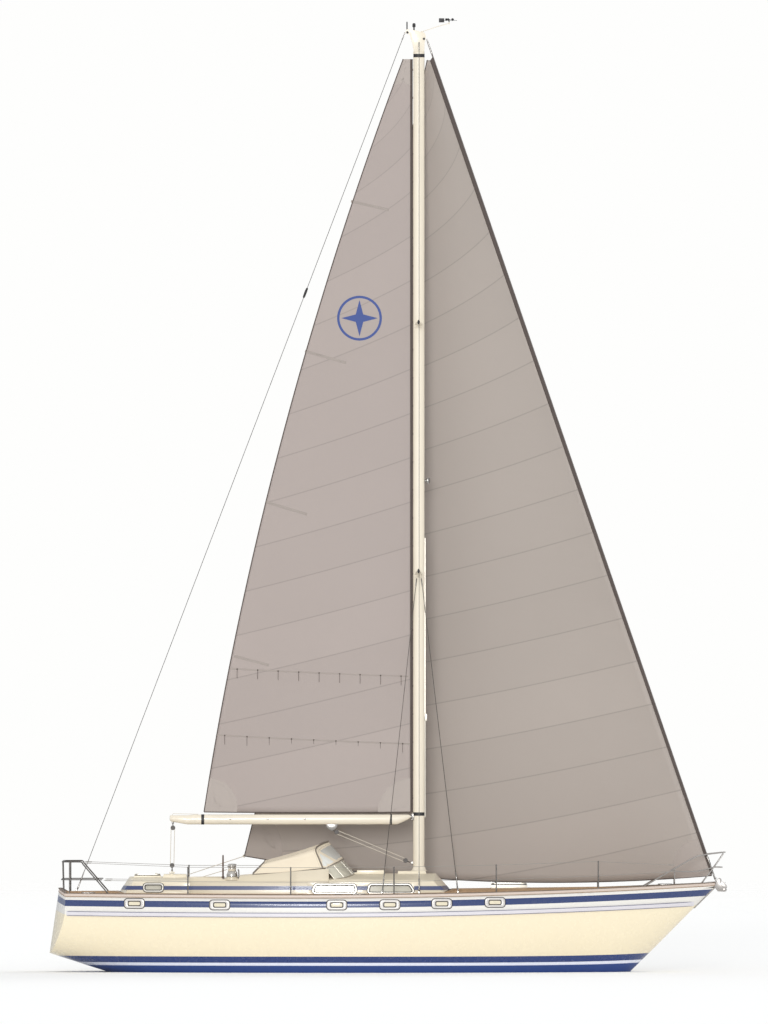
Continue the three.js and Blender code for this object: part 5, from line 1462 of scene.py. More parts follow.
wire_cover = plain_finish("lifeline cover", colour(146, 142, 136), 0.5, variety=0.05, grain=160.0)
for label, side in (("port", 1), ("starboard", -1)):
    posts, wires = Shape(), Shape()
    for x in STANCHIONS:
        foot = rail_foot(x, side)
        posts.tube([foot, foot + Vector((0, 0, LIFELINES[0] + 0.004)),
                    foot + Vector((0, 0, LIFELINES[0] + 0.012))],
                   [TUBE_RADIUS, TUBE_RADIUS, 0.006], 16)
        footed(posts, foot)
        for height in LIFELINES:
            posts.tube([foot + Vector((-0.016, 0, height)), foot + Vector((0.016, 0, height))], 0.0075, 10)
    for height, aft, fore in ((LIFELINES[0], (-5.342, 1.15, 2.05), (5.735, 0.53, 2.0)),
                              (LIFELINES[1], (-4.96, 1.234, 1.722), (5.6, 0.585, 1.876))):
        stations = [Vector((aft[0], side * aft[1], aft[2]))]
        stations += [rail_foot(x, side) + Vector((0, 0, height)) for x in STANCHIONS]
        stations.append(Vector((fore[0], side * fore[1], fore[2])))
        wires.tube(stations, 0.004, 8)
        for end, inner in ((stations[0], stations[1]), (stations[-1], stations[-2])):
            way = (inner - end).normalized()
            wires.tube([end + way * d for d in (0.02, 0.03, 0.14, 0.15)], [0.004, 0.008, 0.008, 0.004], 10)
    posts.finish("stanchions_" + label, rail_steel, "hull", "steel", "guardrail_" + label)
    wires.finish("lifelines_" + label, wire_cover, "hull", "wire")
    screwed("stanchion_screws_" + label,
            [(rail_foot(x, side) + Vector((0.026 * math.cos(a), 0.026 * math.sin(a), 0.0095)), (0, 0, 1))
             for x in STANCHIONS for a in share(0.4, 0.4 + 2 * math.pi, 4)[:-1]], "hull", 0.0035, 0.002)

# ------------------------------------------------------------------ stem fitting and anchor roller
# A welded stainless strap down the stem with a cheeked roller for the anchor, its pin, and the eye of the
# forestay.
worked_copy("stem_fitting", pulpit_tube, "steel", ease=0.003)
stem = Shape()
NOSE = [(6.47, 1.585), (6.535, 1.505), (6.66, 1.497), (6.693, 1.507), (6.706, 1.533), (6.694, 1.562),
        (6.655, 1.585),
        (6.612, 1.622), (6.592, 1.668), (6.606, 1.706), (6.602, 1.738), (6.572, 1.756), (6.536, 1.744),
        (6.522, 1.706)]
stem.plate([(x, 0.056, z) for x, z in NOSE], (0, 0.01, 0))
stem.plate([(x, -0.066, z) for x, z in NOSE], (0, 0.01, 0))
stem.tube([(6.655, -0.07, 1.54), (6.655, 0.07, 1.54)], 0.024, 20)
stem.tube([(6.672, -0.062, 1.669), (6.672, 0.062, 1.669)], 0.008, 12)
stem.tube(eased_path([(6.50, 0.0, 1.688), (6.497, 0.0, 1.72), (6.49, 0.0, 1.76)]), 0.012, 12)
stem.turned([(0.0, -0.008), (0.022, -0.008), (0.022, 0.008), (0.0, 0.008)], (6.49, 0.0, 1.75), (0, 1, 0),
            20)
stem.finish("stem_pins", pulpit_tube, "hull", "steel", ease=0.002)
screwed("stem_bolts",
        [(Vector((x, side * 0.017, x - FORE_WATERLINE_X)) + Vector((0.018, 0, 0)), (0, side, 0))
                       for x in share(6.13, 6.43, 4) for side in (1, -1)], "hull", 0.006, 0.004)

# ------------------------------------------------------------------ mast
# An oval alloy extrusion stepped on the coachroof: luff groove aft, a halyard winch and cleats, and black
# tape bands at the limits of the sail. Two pairs of foil spreaders are bracketed to its sides.
MAST_X, MAST_FOOT, MAST_TOP = 0.937, 1.889, 17.24
MAST_HALF = Vector((0.103, 0.065))
SPREADERS = {"lower": (7.507, 1.15), "upper": (12.165, 0.76)}
spar_paint = plain_finish("spar enamel", colour(227, 217, 198), 0.34, variety=0.03, grain=60.0, coat=0.2)
black_tape = plain_finish("black tape", colour(34, 32, 34), 0.5, variety=0.06, grain=160.0)


def oval(x, rx, ry, z, sides=48):
    return [Vector((x + rx * math.cos(a), ry * math.sin(a), z))
            for a in share(0.0, 2 * math.pi, sides)[:-1]]


mast = Shape()
groove = [Vector((MAST_X + MAST_HALF.x * math.cos(a), MAST_HALF.y * math.sin(a), 0.0))
          for a in share(-math.pi + 0.13, math.pi - 0.13, 46)]
back = MAST_X - MAST_HALF.x
groove += [Vector((back - 0.004, 0.012, 0)), Vector((back - 0.004, 0.004, 0)),
           Vector((back + 0.018, 0.004, 0)),
           Vector((back + 0.018, -0.004, 0)), Vector((back - 0.004, -0.004, 0)),
           Vector((back - 0.004, -0.012, 0))]
mast.rings([[p + Vector((0, 0, z)) for p in groove] for z in share(MAST_FOOT, MAST_TOP, 30)])
mast.finish("mast_extrusion", spar_paint, "hull", "spar", "mast")
bands = Shape()
for z in (2.953, 17.166):
    bands.rings([oval(MAST_X, MAST_HALF.x + 0.0025, MAST_HALF.y + 0.0025, z + dz)
                 for dz in (-0.032, 0.032)])
bands.finish("mast_bands", black_tape, "hull", "spar")

for label, (z, reach) in SPREADERS.items():
    spreader = Shape()
    for side in (1, -1):
        rise = 0.06 * reach
        rings = []
        for t in share(0.0, 1.0, 10):
            chord, thick = mix(0.075, 0.042, t), mix(0.022, 0.012, t)
            middle = Vector((MAST_X - 0.012, side * mix(0.05, reach, t), z - rise * (1 - t)))
            rings.append([middle + Vector((chord * math.cos(a) + 0.25 * chord * math.sin(a) ** 2, 0,
                                           thick * math.sin(a)))
                          for a in share(0.0, 2 * math.pi, 20)[:-1]])
        spreader.rings(rings)
        spreader.block((MAST_X - 0.09, min(side * 0.04, side * 0.11), z - rise - 0.04),
                       (MAST_X + 0.06, max(side * 0.04, side * 0.11), z - rise + 0.034))
    spreader.finish(f"spreaders_{label}", spar_paint, "hull", "spar", ease=0.003)
    tips = Shape()
    for side in (1, -1):
        tips.turned([(0.0, -0.045), (0.018, -0.03), (0.026, 0.0), (0.018, 0.03), (0.0, 0.045)],
                    (MAST_X - 0.008, side * (reach + 0.004), z), sides=20)
    tips.finish(f"spreader_boots_{label}", rubber, "hull", "canvas")

fittings = Shape()  # the halyard winch and its cleats are on the port side
fittings.turned([(0.0, -0.02), (0.058, -0.02), (0.058, 0.006), (0.052, 0.012), (0.03, 0.03), (0.028, 0.07),
                 (0.046, 0.084), (0.046, 0.094), (0.03, 0.1), (0.0, 0.1)],
                (MAST_X + 0.01, MAST_HALF.y, 2.55),
                (0, 1, 0), 32)
for x, z in ((MAST_X - 0.02, 2.3), (MAST_X + 0.03, 2.12)):
    fittings.tube([(x, 0.085, z - 0.075), (x, 0.092, z - 0.05), (x, 0.092, z + 0.05),
                   (x, 0.085, z + 0.075)],
                  [0.005, 0.009, 0.009, 0.005], 10)
    fittings.block((x - 0.009, 0.055, z - 0.02), (x + 0.009, 0.09, z + 0.02))
fittings.tube([(MAST_X + 0.10, 0, 9.2), (MAST_X + 0.16, 0, 9.2)], 0.02, 16)
fittings.turned([(0.0, -0.05), (0.035, -0.05), (0.04, 0.0), (0.035, 0.05), (0.0, 0.05)],
                (MAST_X + 0.165, 0, 9.2))
fittings.finish("mast_fittings", steel, "hull", "steel", ease=0.001)
gooseneck = Shape()
gooseneck.block((0.815, -0.034, 2.84), (0.838, 0.034, 2.965))
for z0 in (2.846, 2.942):
    gooseneck.rings([[Vector((0.80 + 0.018 * math.cos(a), 0.018 * math.sin(a), z))
                      for a in share(math.pi / 2, 1.5 * math.pi, 10)]
                     + [Vector((0.83, -0.018, z)), Vector((0.83, 0.018, z))] for z in (z0, z0 + 0.016)])
gooseneck.finish("gooseneck_bracket", steel, "hull", "steel", ease=0.002)
worked_copy("pole_track", alloy, "spar", ease=0.002)
screwed("pole_track_screws",
        [(Vector((MAST_X + MAST_HALF.x + 0.0225, 0, z)), (1, 0, 0)) for z in share(2.95, 8.07, 40)
                              if abs(z - 4.765) > 0.09], "hull", 0.006, 0.003)
collar = Shape().rings([oval(MAST_X, MAST_HALF.x + r, MAST_HALF.y + r, 1.887 + h, 48) for r, h in (
    (0.05, 0.0), (0.05, 0.012), (0.03, 0.02), (0.014, 0.06), (0.004, 0.075))])
collar.finish("mast_collar", spar_paint, "hull", "spar")
halyards = Shape()
for dx, low, high in ((-0.045, 2.38, 17.1), (0.0, 2.62, 12.0), (0.045, 2.2, 17.1)):
    halyards.tube([(MAST_X + dx, 0.069, low), (MAST_X + dx, 0.069, high)], 0.005, 8)
rope = plain_finish("braided rope", colour(214, 206, 190), 0.85, variety=0.06, grain=500.0, bump=0.2)
halyards.finish("halyards", rope, "hull", "canvas")

# ------------------------------------------------------------------ masthead
# A welded crane with sheave cheeks, the aerial and the lantern on short posts, and the wind sensor on its
# arm, whose vane and cups turn freely.
worked_copy("masthead", spar_paint, "spar", ease=0.005)
top_gear = Shape()
top_gear.tube([(0.712, 0.0, 17.64), (0.712, 0.0, 17.80)], 0.012, 12)
top_gear.turned([(0.0, 0.0), (0.03, 0.0), (0.03, 0.05), (0.024, 0.07), (0.0, 0.075)], (0.843, 0, 17.70),
                sides=20)
top_gear.tube([(0.843, 0.0, 17.63), (0.843, 0.0, 17.71)], 0.014, 12)
for x, z in ((0.72, 17.6), (1.03, 17.48)):
    top_gear.tube([(x, -0.062, z), (x, 0.062, z)], 0.022, 20)
top_gear.finish("masthead_gear", black_tape, "hull", "spar", ease=0.001)
worked_copy("wind_vane", black_tape, "steel", ease=0.0008)
cups = Shape()
SENSOR = Vector((1.5, 0.0, 17.79))
for a in share(0.3, 0.3 + 2 * math.pi, 3)[:-1]:
    out = Vector((math.cos(a), math.sin(a), 0.0))
    hub = SENSOR + Vector((0, 0, 0.052))
    cups.tube([hub, hub + out * 0.06], 0.003, 8)
    cups.turned([(0.002, -0.026), (0.016, -0.02), (0.024, -0.006), (0.026, 0.004), (0.022, 0.004),
                 (0.014, -0.014),
                 (0.002, -0.02)], hub + out * 0.07, Vector((-math.sin(a), math.cos(a), 0.0)), 20)
cups.turned([(0.0, 0.038), (0.012, 0.038), (0.012, 0.06), (0.006, 0.066), (0.0, 0.066)], SENSOR, sides=20)
cups.finish("wind_cups", black_tape, "wind_vane", "steel")

# ------------------------------------------------------------------ standing rigging
# Wires of laid stainless strand, swaged into studs, with bronze turnbuckles above the chainplates. The
# backstay carries aerial insulators, and the forestay is an alloy foil for the headsail's luff.
def strand_material():
    """Laid wire: grooves that wind round the strand, darkened in colour as painted shade between the strands.
    """
    material = bpy.data.materials.new("laid wire")
    nodes = Nodes(material)
    where = nodes.add("ShaderNodeTexCoord").outputs["Object"]
    lay = nodes.add("ShaderNodeTexWave", {"Vector": where, "Scale": 60.0, "Distortion": 1.5},
                    bands_direction="DIAGONAL")
    wear = nodes.add("ShaderNodeTexNoise", {"Vector": where, "Scale": 5.0, "Detail": 5.0}).outputs["Fac"]
    # The base colour goes dark in the lay's grooves: painted shade between the strands.
    base = nodes.blend(lay.outputs["Fac"], colour(62, 60, 60), colour(126, 123, 120))
    base = nodes.blend(nodes.maths("MULTIPLY", wear, 0.3), base, colour(150, 142, 130))
    bump = nodes.add("ShaderNodeBump", {"Height": lay.outputs["Fac"], "Strength": 0.6, "Distance": 0.001})
    shader = nodes.add("ShaderNodeBsdfPrincipled", {"Base Color": base, "Metallic": 1.0, "Roughness": 0.36,
                                                    "Normal": bump.outputs[0]})
    nodes.add("ShaderNodeOutputMaterial", {"Surface": shader.outputs[0]})
    return material


strand = strand_material()
CHAINPLATE_Y = 1.4
WIRE = 0.0055


def rigged(name, path, node, slot="wire"):
    """A stay from its chainplate to the mast, with its swages, turnbuckle and toggle."""
    path = [Vector(p) for p in path]
    foot, way = path[0], (path[1] - path[0]).normalized()
    wire = Shape().tube([foot + way * 0.3] + path[1:], WIRE, 8)
    wire.finish(name, strand, "hull", slot, node)
    ends = Shape()
    ends.tube([foot + way * d for d in (0.28, 0.29, 0.40, 0.42)], [0.007, 0.010, 0.010, 0.0065], 12)
    ends.tube([foot + way * d for d in (0.045, 0.055, 0.09, 0.11, 0.24, 0.26, 0.285, 0.29)],
              [0.009, 0.014, 0.016, 0.012, 0.012, 0.016, 0.014, 0.008], 12)
    ends.tube([foot - way * 0.02, foot + way * 0.06], 0.008, 10)
    for dy in (-0.013, 0.009):
        ends.block((foot.x - 0.018, foot.y + dy, foot.z - 0.012),
                   (foot.x + 0.018, foot.y + dy + 0.004, foot.z + 0.05))
    ends.block((foot.x - 0.05, foot.y - 0.022, foot.z - 0.004),
               (foot.x + 0.05, foot.y + 0.022, foot.z + 0.004))
    upper, back = path[-1], (path[-2] - path[-1]).normalized()
    ends.tube([upper + back * d for d in (0.0, 0.02, 0.14, 0.16)], [0.008, 0.010, 0.010, 0.0065], 12)
    ends.finish(name + "_ends", steel, "hull", "steel", ease=0.0008)


for label, side in (("port", 1), ("starboard", -1)):
    rigged("cap_shroud_wire_" + label, [(MAST_X, side * CHAINPLATE_Y, deck_height(MAST_X, CHAINPLATE_Y)),
                                        (MAST_X, side * 1.16, 7.507), (MAST_X, side * 0.77, 12.165),
                                        (MAST_X, side * 0.063, 17.42)], "cap_shroud_" + label)
    for node, x in (("fore_lower_shroud_", 1.668), ("aft_lower_shroud_", 0.244)):
        root = MAST_X + math.copysign(0.045, x - MAST_X)
        rigged(node + "wire_" + label, [(x, side * CHAINPLATE_Y, deck_height(x, CHAINPLATE_Y)),
                                        (root, side * 0.066, 7.367)], node + label)
BACKSTAY = (Vector((-5.48, 0.0, deck_height(-5.48, 0.0))), Vector((0.674, 0.0, 17.6)))
FORESTAY = (Vector((6.5, 0.0, 1.692)), Vector((1.081, 0.0, 17.48)))
rigged("backstay_wire", BACKSTAY, "backstay")
insulators = Shape()
INSULATOR_Z = 12.72
t = (INSULATOR_Z - BACKSTAY[0].z) / (BACKSTAY[1].z - BACKSTAY[0].z)
middle, way = BACKSTAY[0].lerp(BACKSTAY[1], t), (BACKSTAY[1] - BACKSTAY[0]).normalized()
insulators.tube([middle + way * d for d in (-0.1, -0.09, -0.03, 0.03, 0.09, 0.1)],
                [0.008, 0.019, 0.023, 0.023, 0.019, 0.008], 16)
insulators.finish("backstay_insulators", rubber, "hull", "canvas")
foil = Shape().tube([FORESTAY[0].lerp(FORESTAY[1], t) for t in share(0.03, 0.985, 40)], 0.0135, 12)
foil_finish = plain_finish("dark foil", colour(96, 88, 84), 0.45, metal=0.5, variety=0.05, grain=140.0)
foil.finish("forestay_foil", foil_finish, "hull", "wire", "forestay")
stay_ends = Shape()
along = (FORESTAY[1] - FORESTAY[0]).normalized()
stay_ends.tube([FORESTAY[0] + along * d for d in (0.0, 0.03, 0.05, 0.1, 0.3, 0.36, 0.45, 0.5)],
               [0.009, 0.010, 0.017, 0.017, 0.014, 0.020, 0.020, 0.015], 16)
stay_ends.tube([FORESTAY[1] - along * d for d in (0.0, 0.1, 0.3)], [0.010, 0.016, 0.016], 16)
stay_ends.finish("forestay_ends", steel, "hull", "steel")

# ------------------------------------------------------------------ boom
# An oval boom, tapered up at both ends, with cast end fittings, a black band, a hanging bracket for the
# kicking strap, the outhaul and the eye that the mainsheet's upper block swivels on.
def boom_ring(x, low, top, half):
    """One squared oval across the boom."""
    return [Vector((x, half * math.copysign(abs(math.cos(a)) ** 0.8, math.cos(a)),
                    (low + top) / 2 + (top - low) / 2 * math.sin(a)))
            for a in share(0.0, 2 * math.pi, 36)[:-1]]


boom = Shape()
outline = [(-3.729, 2.83, 2.928, 0.040), (-3.70, 2.81, 2.93, 0.050), (-3.4, 2.758, 2.93, 0.062),
           (-3.3, 2.758, 2.944, 0.062),
           (-1.0, 2.758, 2.946, 0.062), (0.53, 2.758, 2.946, 0.062), (0.66, 2.815, 2.945, 0.05),
           (0.74, 2.856, 2.944, 0.034),
           (0.778, 2.882, 2.924, 0.02)]
boom.rings([boom_ring(*place_on_boom) for place_on_boom in outline])
boom.finish("boom_extrusion", spar_paint, "boom", "spar", "boom")
boom_gear = Shape()
boom_gear.tube([(0.8, 0, 2.862), (0.8, 0, 2.942)], 0.010, 16)
boom_gear.block((0.745, -0.008, 2.888), (0.80, 0.008, 2.916))
boom_gear.plate([(-0.806, -0.02, 2.762), (-0.581, -0.02, 2.762), (-0.62, -0.02, 2.68),
                 (-0.68, -0.02, 2.642),
                 (-0.72, -0.02, 2.642), (-0.78, -0.02, 2.69)], (0, 0.04, 0))
boom_gear.plate([(-3.705, -0.008, 2.835), (-3.645, -0.008, 2.835), (-3.656, -0.008, 2.77),
                 (-3.694, -0.008, 2.77)],
                (0, 0.016, 0))
boom_gear.block((-3.735, -0.03, 2.84), (-3.715, 0.03, 2.915))
for x in (-2.6, -1.9, -1.2):
    boom_gear.tube([(x, -0.066, 2.86), (x, 0.066, 2.86)], 0.018, 16)
boom_gear.finish("boom_fittings", steel, "boom", "steel", ease=0.002)
boom_band = Shape()
BAND_LOW, BAND_TOP, BAND_HALF = 2.755, 2.948, 0.0645
for band_ends in ((-3.144, -3.088), (0.40, 0.43)):
    boom_band.rings([boom_ring(x, BAND_LOW, BAND_TOP, BAND_HALF) for x in band_ends])
boom_band.finish("boom_band", black_tape, "boom", "spar")
topping = Shape().tube([(-3.69, 0.0, 2.93), (-3.672, 0.0, 2.96), (-3.2, 0.0, 2.952)], 0.005, 8)
topping.finish("outhaul_line", rope, "boom", "canvas")

# ------------------------------------------------------------------ mainsheet
# A four-part tackle from the traveller's car to the boom's end, with a cam block below.
BLOCKS = (Vector((-3.69, 0.0, 1.99)), Vector((-3.675, 0.0, 2.695)))


def tackle_block(shape, at, strap):
    """A pair of sheaves between cheeks, with a strap towards its fixing."""
    for y in (-0.036, -0.012, 0.012, 0.036):
        shape.turned([(0.0, -0.003), (0.040, -0.003), (0.044, 0.0), (0.040, 0.003), (0.0, 0.003)],
                     at + Vector((0, y, 0)), (0, 1, 0), 28)
    for y in (-0.024, 0.024):
        shape.turned([(0.0, -0.008), (0.034, -0.008), (0.027, 0.0), (0.034, 0.008), (0.0, 0.008)],
                     at + Vector((0, y, 0)), (0, 1, 0), 28)
    shape.tube([at + Vector((0, -0.045, 0)), at + Vector((0, 0.045, 0))], 0.007, 12)
    shape.tube([at + strap * 0.035, at + strap * 0.09], 0.009, 12)


lower_block, upper_block = Shape(), Shape()
tackle_block(lower_block, BLOCKS[0], Vector((0, 0, -1)))
lower_block.tube([(-3.69, 0, 1.885), (-3.69, 0, 1.93)], 0.012, 12)
lower_block.turned([(0.0, -0.01), (0.02, -0.01), (0.02, 0.01), (0.0, 0.01)], (-3.69, 0, 1.888), (0, 1, 0),
                   20)
tackle_block(upper_block, BLOCKS[1], Vector((0, 0, 1)))
block_finish = plain_finish("block shells", colour(70, 64, 60), 0.45, variety=0.05, grain=120.0)
lower_block.finish("mainsheet_lower_block", block_finish, "hull", "steel")
upper_block.finish("mainsheet_upper_block", block_finish, "boom", "steel")
falls = Shape()
for x, y in ((-0.033, -0.024), (0.033, -0.024), (-0.033, 0.024), (0.033, 0.024)):
    falls.tube([BLOCKS[0].lerp(BLOCKS[1], t) + Vector((x, y, 0)) for t in share(0.0, 1.0, 30)], 0.006, 8)
tackle = falls.finish("mainsheet_falls", rope, None, "canvas")
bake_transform(tackle)
car = Shape()
car.rings([[(x, y, z) for x, z in ((-3.716, 1.842), (-3.716, 1.852), (-3.668, 1.852), (-3.668, 1.842))]
           for y in (-0.42, 0.42)])
car.finish("traveller_track", block_finish, "hull", "steel", ease=0.002)
screwed("traveller_screws", [(Vector((-3.692, y, 1.853)), (0, 0, 1)) for y in share(-0.39, 0.39, 12)
                             if abs(y) > 0.07],
        "hull", 0.006, 0.003)

# ------------------------------------------------------------------ kicking strap
# A small tackle from a lug at the foot of the mast up to the bracket under the boom. The lug's pin stands on
# the boom's own axis, so the strap swings round with the boom at its set length.
STRAP_FOOT, STRAP_HEAD = Vector((0.80, 0.0, 2.035)), Vector((-0.70, 0.0, 2.655))
lug = Shape()
lug.block((0.790, -0.008, 2.008), (0.838, 0.008, 2.062))
lug.tube([(STRAP_FOOT.x, -0.011, STRAP_FOOT.z), (STRAP_FOOT.x, 0.011, STRAP_FOOT.z)], 0.006, 12)
lug.finish("kicking_strap_lug", steel, "hull", "steel", ease=0.001)
up_strap = (STRAP_HEAD - STRAP_FOOT).normalized()
aside = Vector((up_strap.z, 0.0, -up_strap.x))
ends = (STRAP_FOOT + up_strap * 0.125, STRAP_HEAD - up_strap * 0.10)
strap_blocks, strap_falls = Shape(), Shape()
tackle_block(strap_blocks, ends[0], -up_strap)
tackle_block(strap_blocks, ends[1], up_strap)
strap_blocks.finish("kicking_strap_blocks", block_finish, "boom", "steel")
for off, y in ((-0.033, -0.024), (0.033, -0.024), (-0.033, 0.024), (0.033, 0.024)):
    strap_falls.tube([spot + aside * off + Vector((0, y, 0)) for spot in ends], 0.005, 8)
strap_falls.finish("kicking_strap_falls", rope, "boom", "canvas")

# ------------------------------------------------------------------ deck gear
# Cleats at both ends, headsail tracks with their cars on the side decks, the turning block of the headsail's
# sheet and the sheet itself, led to the port winch.
gear, tracks = Shape(), Shape()
for x, inset in ((5.55, 0.16), (-5.25, 0.14), (-0.2, 0.12)):
    y = half_beam(x) - inset
    z = deck_height(x, y) + 0.006
    for dx in (-0.035, 0.035):
        gear.tube([(x + dx, y, z - 0.004), (x + dx, y, z + 0.045)], 0.011, 12)
    gear.tube([(x - 0.13, y, z + 0.056), (x - 0.08, y, z + 0.05), (x + 0.08, y, z + 0.05),
               (x + 0.13, y, z + 0.056)],
              [0.008, 0.013, 0.013, 0.008], 12)
    gear.block((x - 0.06, y - 0.02, z - 0.002), (x + 0.06, y + 0.02, z + 0.006))
for x in share(-3.2, 0.3, 1):
    tracks.block((x - 0.02, half_beam(x) - 0.235, deck_height(x, half_beam(x) - 0.22) + 0.004),
                 (x + 0.02, half_beam(x) - 0.205, deck_height(x, half_beam(x) - 0.22) + 0.034))
track_line = [Vector((x, half_beam(x) - 0.22, deck_height(x, half_beam(x) - 0.22)))
              for x in share(-3.2, 0.3, 40)]
tracks.rings([[p + Vector((0, dy, dz)) for dy, dz in ((-0.016, 0.004), (-0.016, 0.022), (0.016, 0.022),
                                                      (0.016, 0.004))]
              for p in track_line])
car_at = track_line[30]
tracks.block(car_at + Vector((-0.06, -0.026, 0.02)), car_at + Vector((0.06, 0.026, 0.05)))
gear.mirrored().finish("deck_cleats", steel, "hull", "steel", ease=0.001)
tracks.mirrored().finish("headsail_tracks", block_finish, "hull", "steel", ease=0.0015)
CLEW = Vector((-2.342, 1.76, 2.148))
lead = Vector((-4.15, half_beam(-4.15) - 0.13, deck_height(-4.15, half_beam(-4.15) - 0.13) + 0.085))
turning = Shape()
turning.turned([(0.0, -0.018), (0.052, -0.018), (0.040, 0.0), (0.052, 0.018), (0.0, 0.018)], lead,
               (0, 1, 0.3), 28)
for dy in (-0.022, 0.022):
    turning.turned([(0.0, -0.002), (0.056, -0.002), (0.056, 0.002), (0.0, 0.002)],
                   lead + Vector((0, dy, 0.3 * dy)),
                   (0, 1, 0.3), 28)
turning.block(lead + Vector((-0.05, -0.03, -0.082)), lead + Vector((0.05, 0.03, -0.072)))
turning.tube([lead, lead + Vector((0, 0, -0.08))], 0.014, 12)
turning.finish("sheet_turning_block", block_finish, "hull", "steel", ease=0.001)
sheet_line = Shape()
winch = Vector((WINCH_X, WINCH_Y, 1.90))
sheet_line.tube([CLEW, CLEW.lerp(lead + Vector((0.02, 0, 0.052)), 0.5), lead + Vector((0.02, 0, 0.052)),
                 lead + Vector((-0.035, 0, 0.038)), lead + Vector((-0.052, 0, 0.0)),
                 lead + Vector((-0.035, 0, -0.038)),
                 lead + Vector((0.02, 0, -0.05)), winch + Vector((-0.1, 0.064, 0.0))], 0.0065, 10)
for z in share(-0.03, 0.03, 3):
    sheet_line.tube([CLEW + Vector((0.01, 0, z)), CLEW + Vector((-0.03, -0.004, 0.4 * z))], 0.006, 8)
sheet_line.finish("headsail_sheet", rope, "hull", "canvas")
# ------------------------------------------------------------------ mainsail
# Woven sailcloth in narrow panels sewn across, with four battens in pockets at the leech, two rows of reef
# points and a bolt rope in the mast's track. It is cut full, so it bellies away from the wind.
TACK, MAIN_HEAD = Vector((0.782, 0.0, 2.992)), 17.1
LEECH_FOOT_X, LEECH_HEAD_X, ROACH = -3.092, 0.64, 0.39
CLOTH_THICKNESS = 0.004


def mainsail_point(across, up, proud=0.0):
    """across is 0 at the luff and 1 at the leech; up is 0 at the foot and 1 at the head."""
    leech = mix(LEECH_FOOT_X, LEECH_HEAD_X, up) - ROACH * bulge(up)
    depth = 0.075 * (1 - 0.35 * up) * min(1.0, 6 * up) * (TACK.x - leech)
    belly = math.sin(math.pi * across ** 0.8)
    pucker = 0.006 * math.sin(19 * up * 7) * math.exp(-14 * across) * min(1.0, 10 * up) * (1 - up)
    droop = -0.012 * bulge(across) * (1 - up)
    height = mix(TACK.z, MAIN_HEAD, up) + droop
    return Vector((mix(TACK.x, leech, across), depth * belly + pucker - proud, height))


def sail_material(name, panels, tint, lean):
    """Woven cloth: sewn panels that differ a little, seams, weave, creases, and light shining through."""
    material = bpy.data.materials.new(name)
    nodes = Nodes(material)
    uv = nodes.add("ShaderNodeUVMap", uv_map="cloth").outputs[0]
    parts = nodes.add("ShaderNodeSeparateXYZ", {"Vector": uv})
    along, up = parts.outputs["X"], parts.outputs["Y"]
    tilted = nodes.maths("ADD", up, nodes.maths("MULTIPLY", along, lean))
    run = nodes.maths("MULTIPLY", tilted, panels)
    seam_at = nodes.maths("FRACT", run)
    panel = nodes.add("ShaderNodeTexWhiteNoise", {"W": nodes.maths("FLOOR", run)}, noise_dimensions="1D")
    off_seam = nodes.maths("ABSOLUTE", nodes.maths("SUBTRACT", seam_at, 0.5))
    seam = nodes.maths("GREATER_THAN", off_seam, 0.482)
    stitched = nodes.maths("GREATER_THAN", off_seam, 0.494)
    where = nodes.add("ShaderNodeTexCoord").outputs["Object"]
    clouds = nodes.add("ShaderNodeTexNoise", {"Vector": where, "Scale": 0.35, "Detail": 6.0}).outputs["Fac"]
    stretched = nodes.add("ShaderNodeMapping", {"Vector": where, "Scale": (1.0, 1.0, 3.0)}).outputs[0]
    creases = nodes.add("ShaderNodeTexNoise",
                        {"Vector": stretched, "Scale": 2.2, "Detail": 7.0}).outputs["Fac"]
    warp = nodes.add("ShaderNodeTexWave", {"Vector": where, "Scale": 160.0},
                     bands_direction="X").outputs["Fac"]
    weft = nodes.add("ShaderNodeTexWave", {"Vector": where, "Scale": 160.0},
                     bands_direction="Z").outputs["Fac"]
    weave = nodes.maths("MULTIPLY", warp, weft)
    dark = tuple(c * 0.86 for c in tint[:3]) + (1.0,)
    shade = nodes.maths("ADD", nodes.maths("MULTIPLY", panel.outputs["Value"], 0.30),
                        nodes.maths("MULTIPLY", clouds, 0.5))
    base = nodes.blend(shade, tint, dark)
    base = nodes.blend(nodes.maths("MULTIPLY", seam, 0.14), base, colour(120, 112, 106))
    base = nodes.blend(nodes.maths("MULTIPLY", stitched, 0.25), base, colour(96, 90, 86))
    base = nodes.blend(nodes.maths("MULTIPLY", weave, 0.10), base, colour(225, 218, 210))
    relief = nodes.maths("ADD", nodes.maths("MULTIPLY", weave, 0.05), nodes.maths("MULTIPLY", creases, 0.6))
    relief = nodes.maths("ADD", relief, nodes.maths("MULTIPLY", seam, 0.10))
    bump = nodes.add("ShaderNodeBump", {"Height": relief, "Strength": 0.25, "Distance": 0.02}).outputs[0]
    cloth = nodes.add("ShaderNodeBsdfPrincipled", {
        "Base Color": base, "Roughness": 0.78, "Normal": bump, "Sheen Weight": 0.15,
                                                   "Sheen Roughness": 0.5})
    through = nodes.add("ShaderNodeBsdfTranslucent", {"Color": base, "Normal": bump})
    mixed = nodes.add("ShaderNodeMixShader", {0: 0.22, 1: cloth.outputs[0], 2: through.outputs[0]})
    nodes.add("ShaderNodeOutputMaterial", {"Surface": mixed.outputs[0]})
    return material


mainsail_cloth = sail_material("mainsail cloth", 17.0, colour(185, 173, 167), 0.06)
mainsail = cloth_piece("mainsail_cloth", mainsail_point, 48, 110, mainsail_cloth, CLOTH_THICKNESS)
place(mainsail, "boom", "sailcloth", "mainsail")

# ------------------------------------------------------------------ genoa
# A large headsail on the forestay, sheeted to port, outside the shrouds. It is set and doesn't swing.
GENOA_TACK, GENOA_HEAD = Vector((6.42, 0.0, 1.8)), Vector((1.15, 0.0, 17.08))
GENOA_CLEW = Vector((-2.342, 1.76, 2.148))
GENOA_HEADBOARD = 0.06


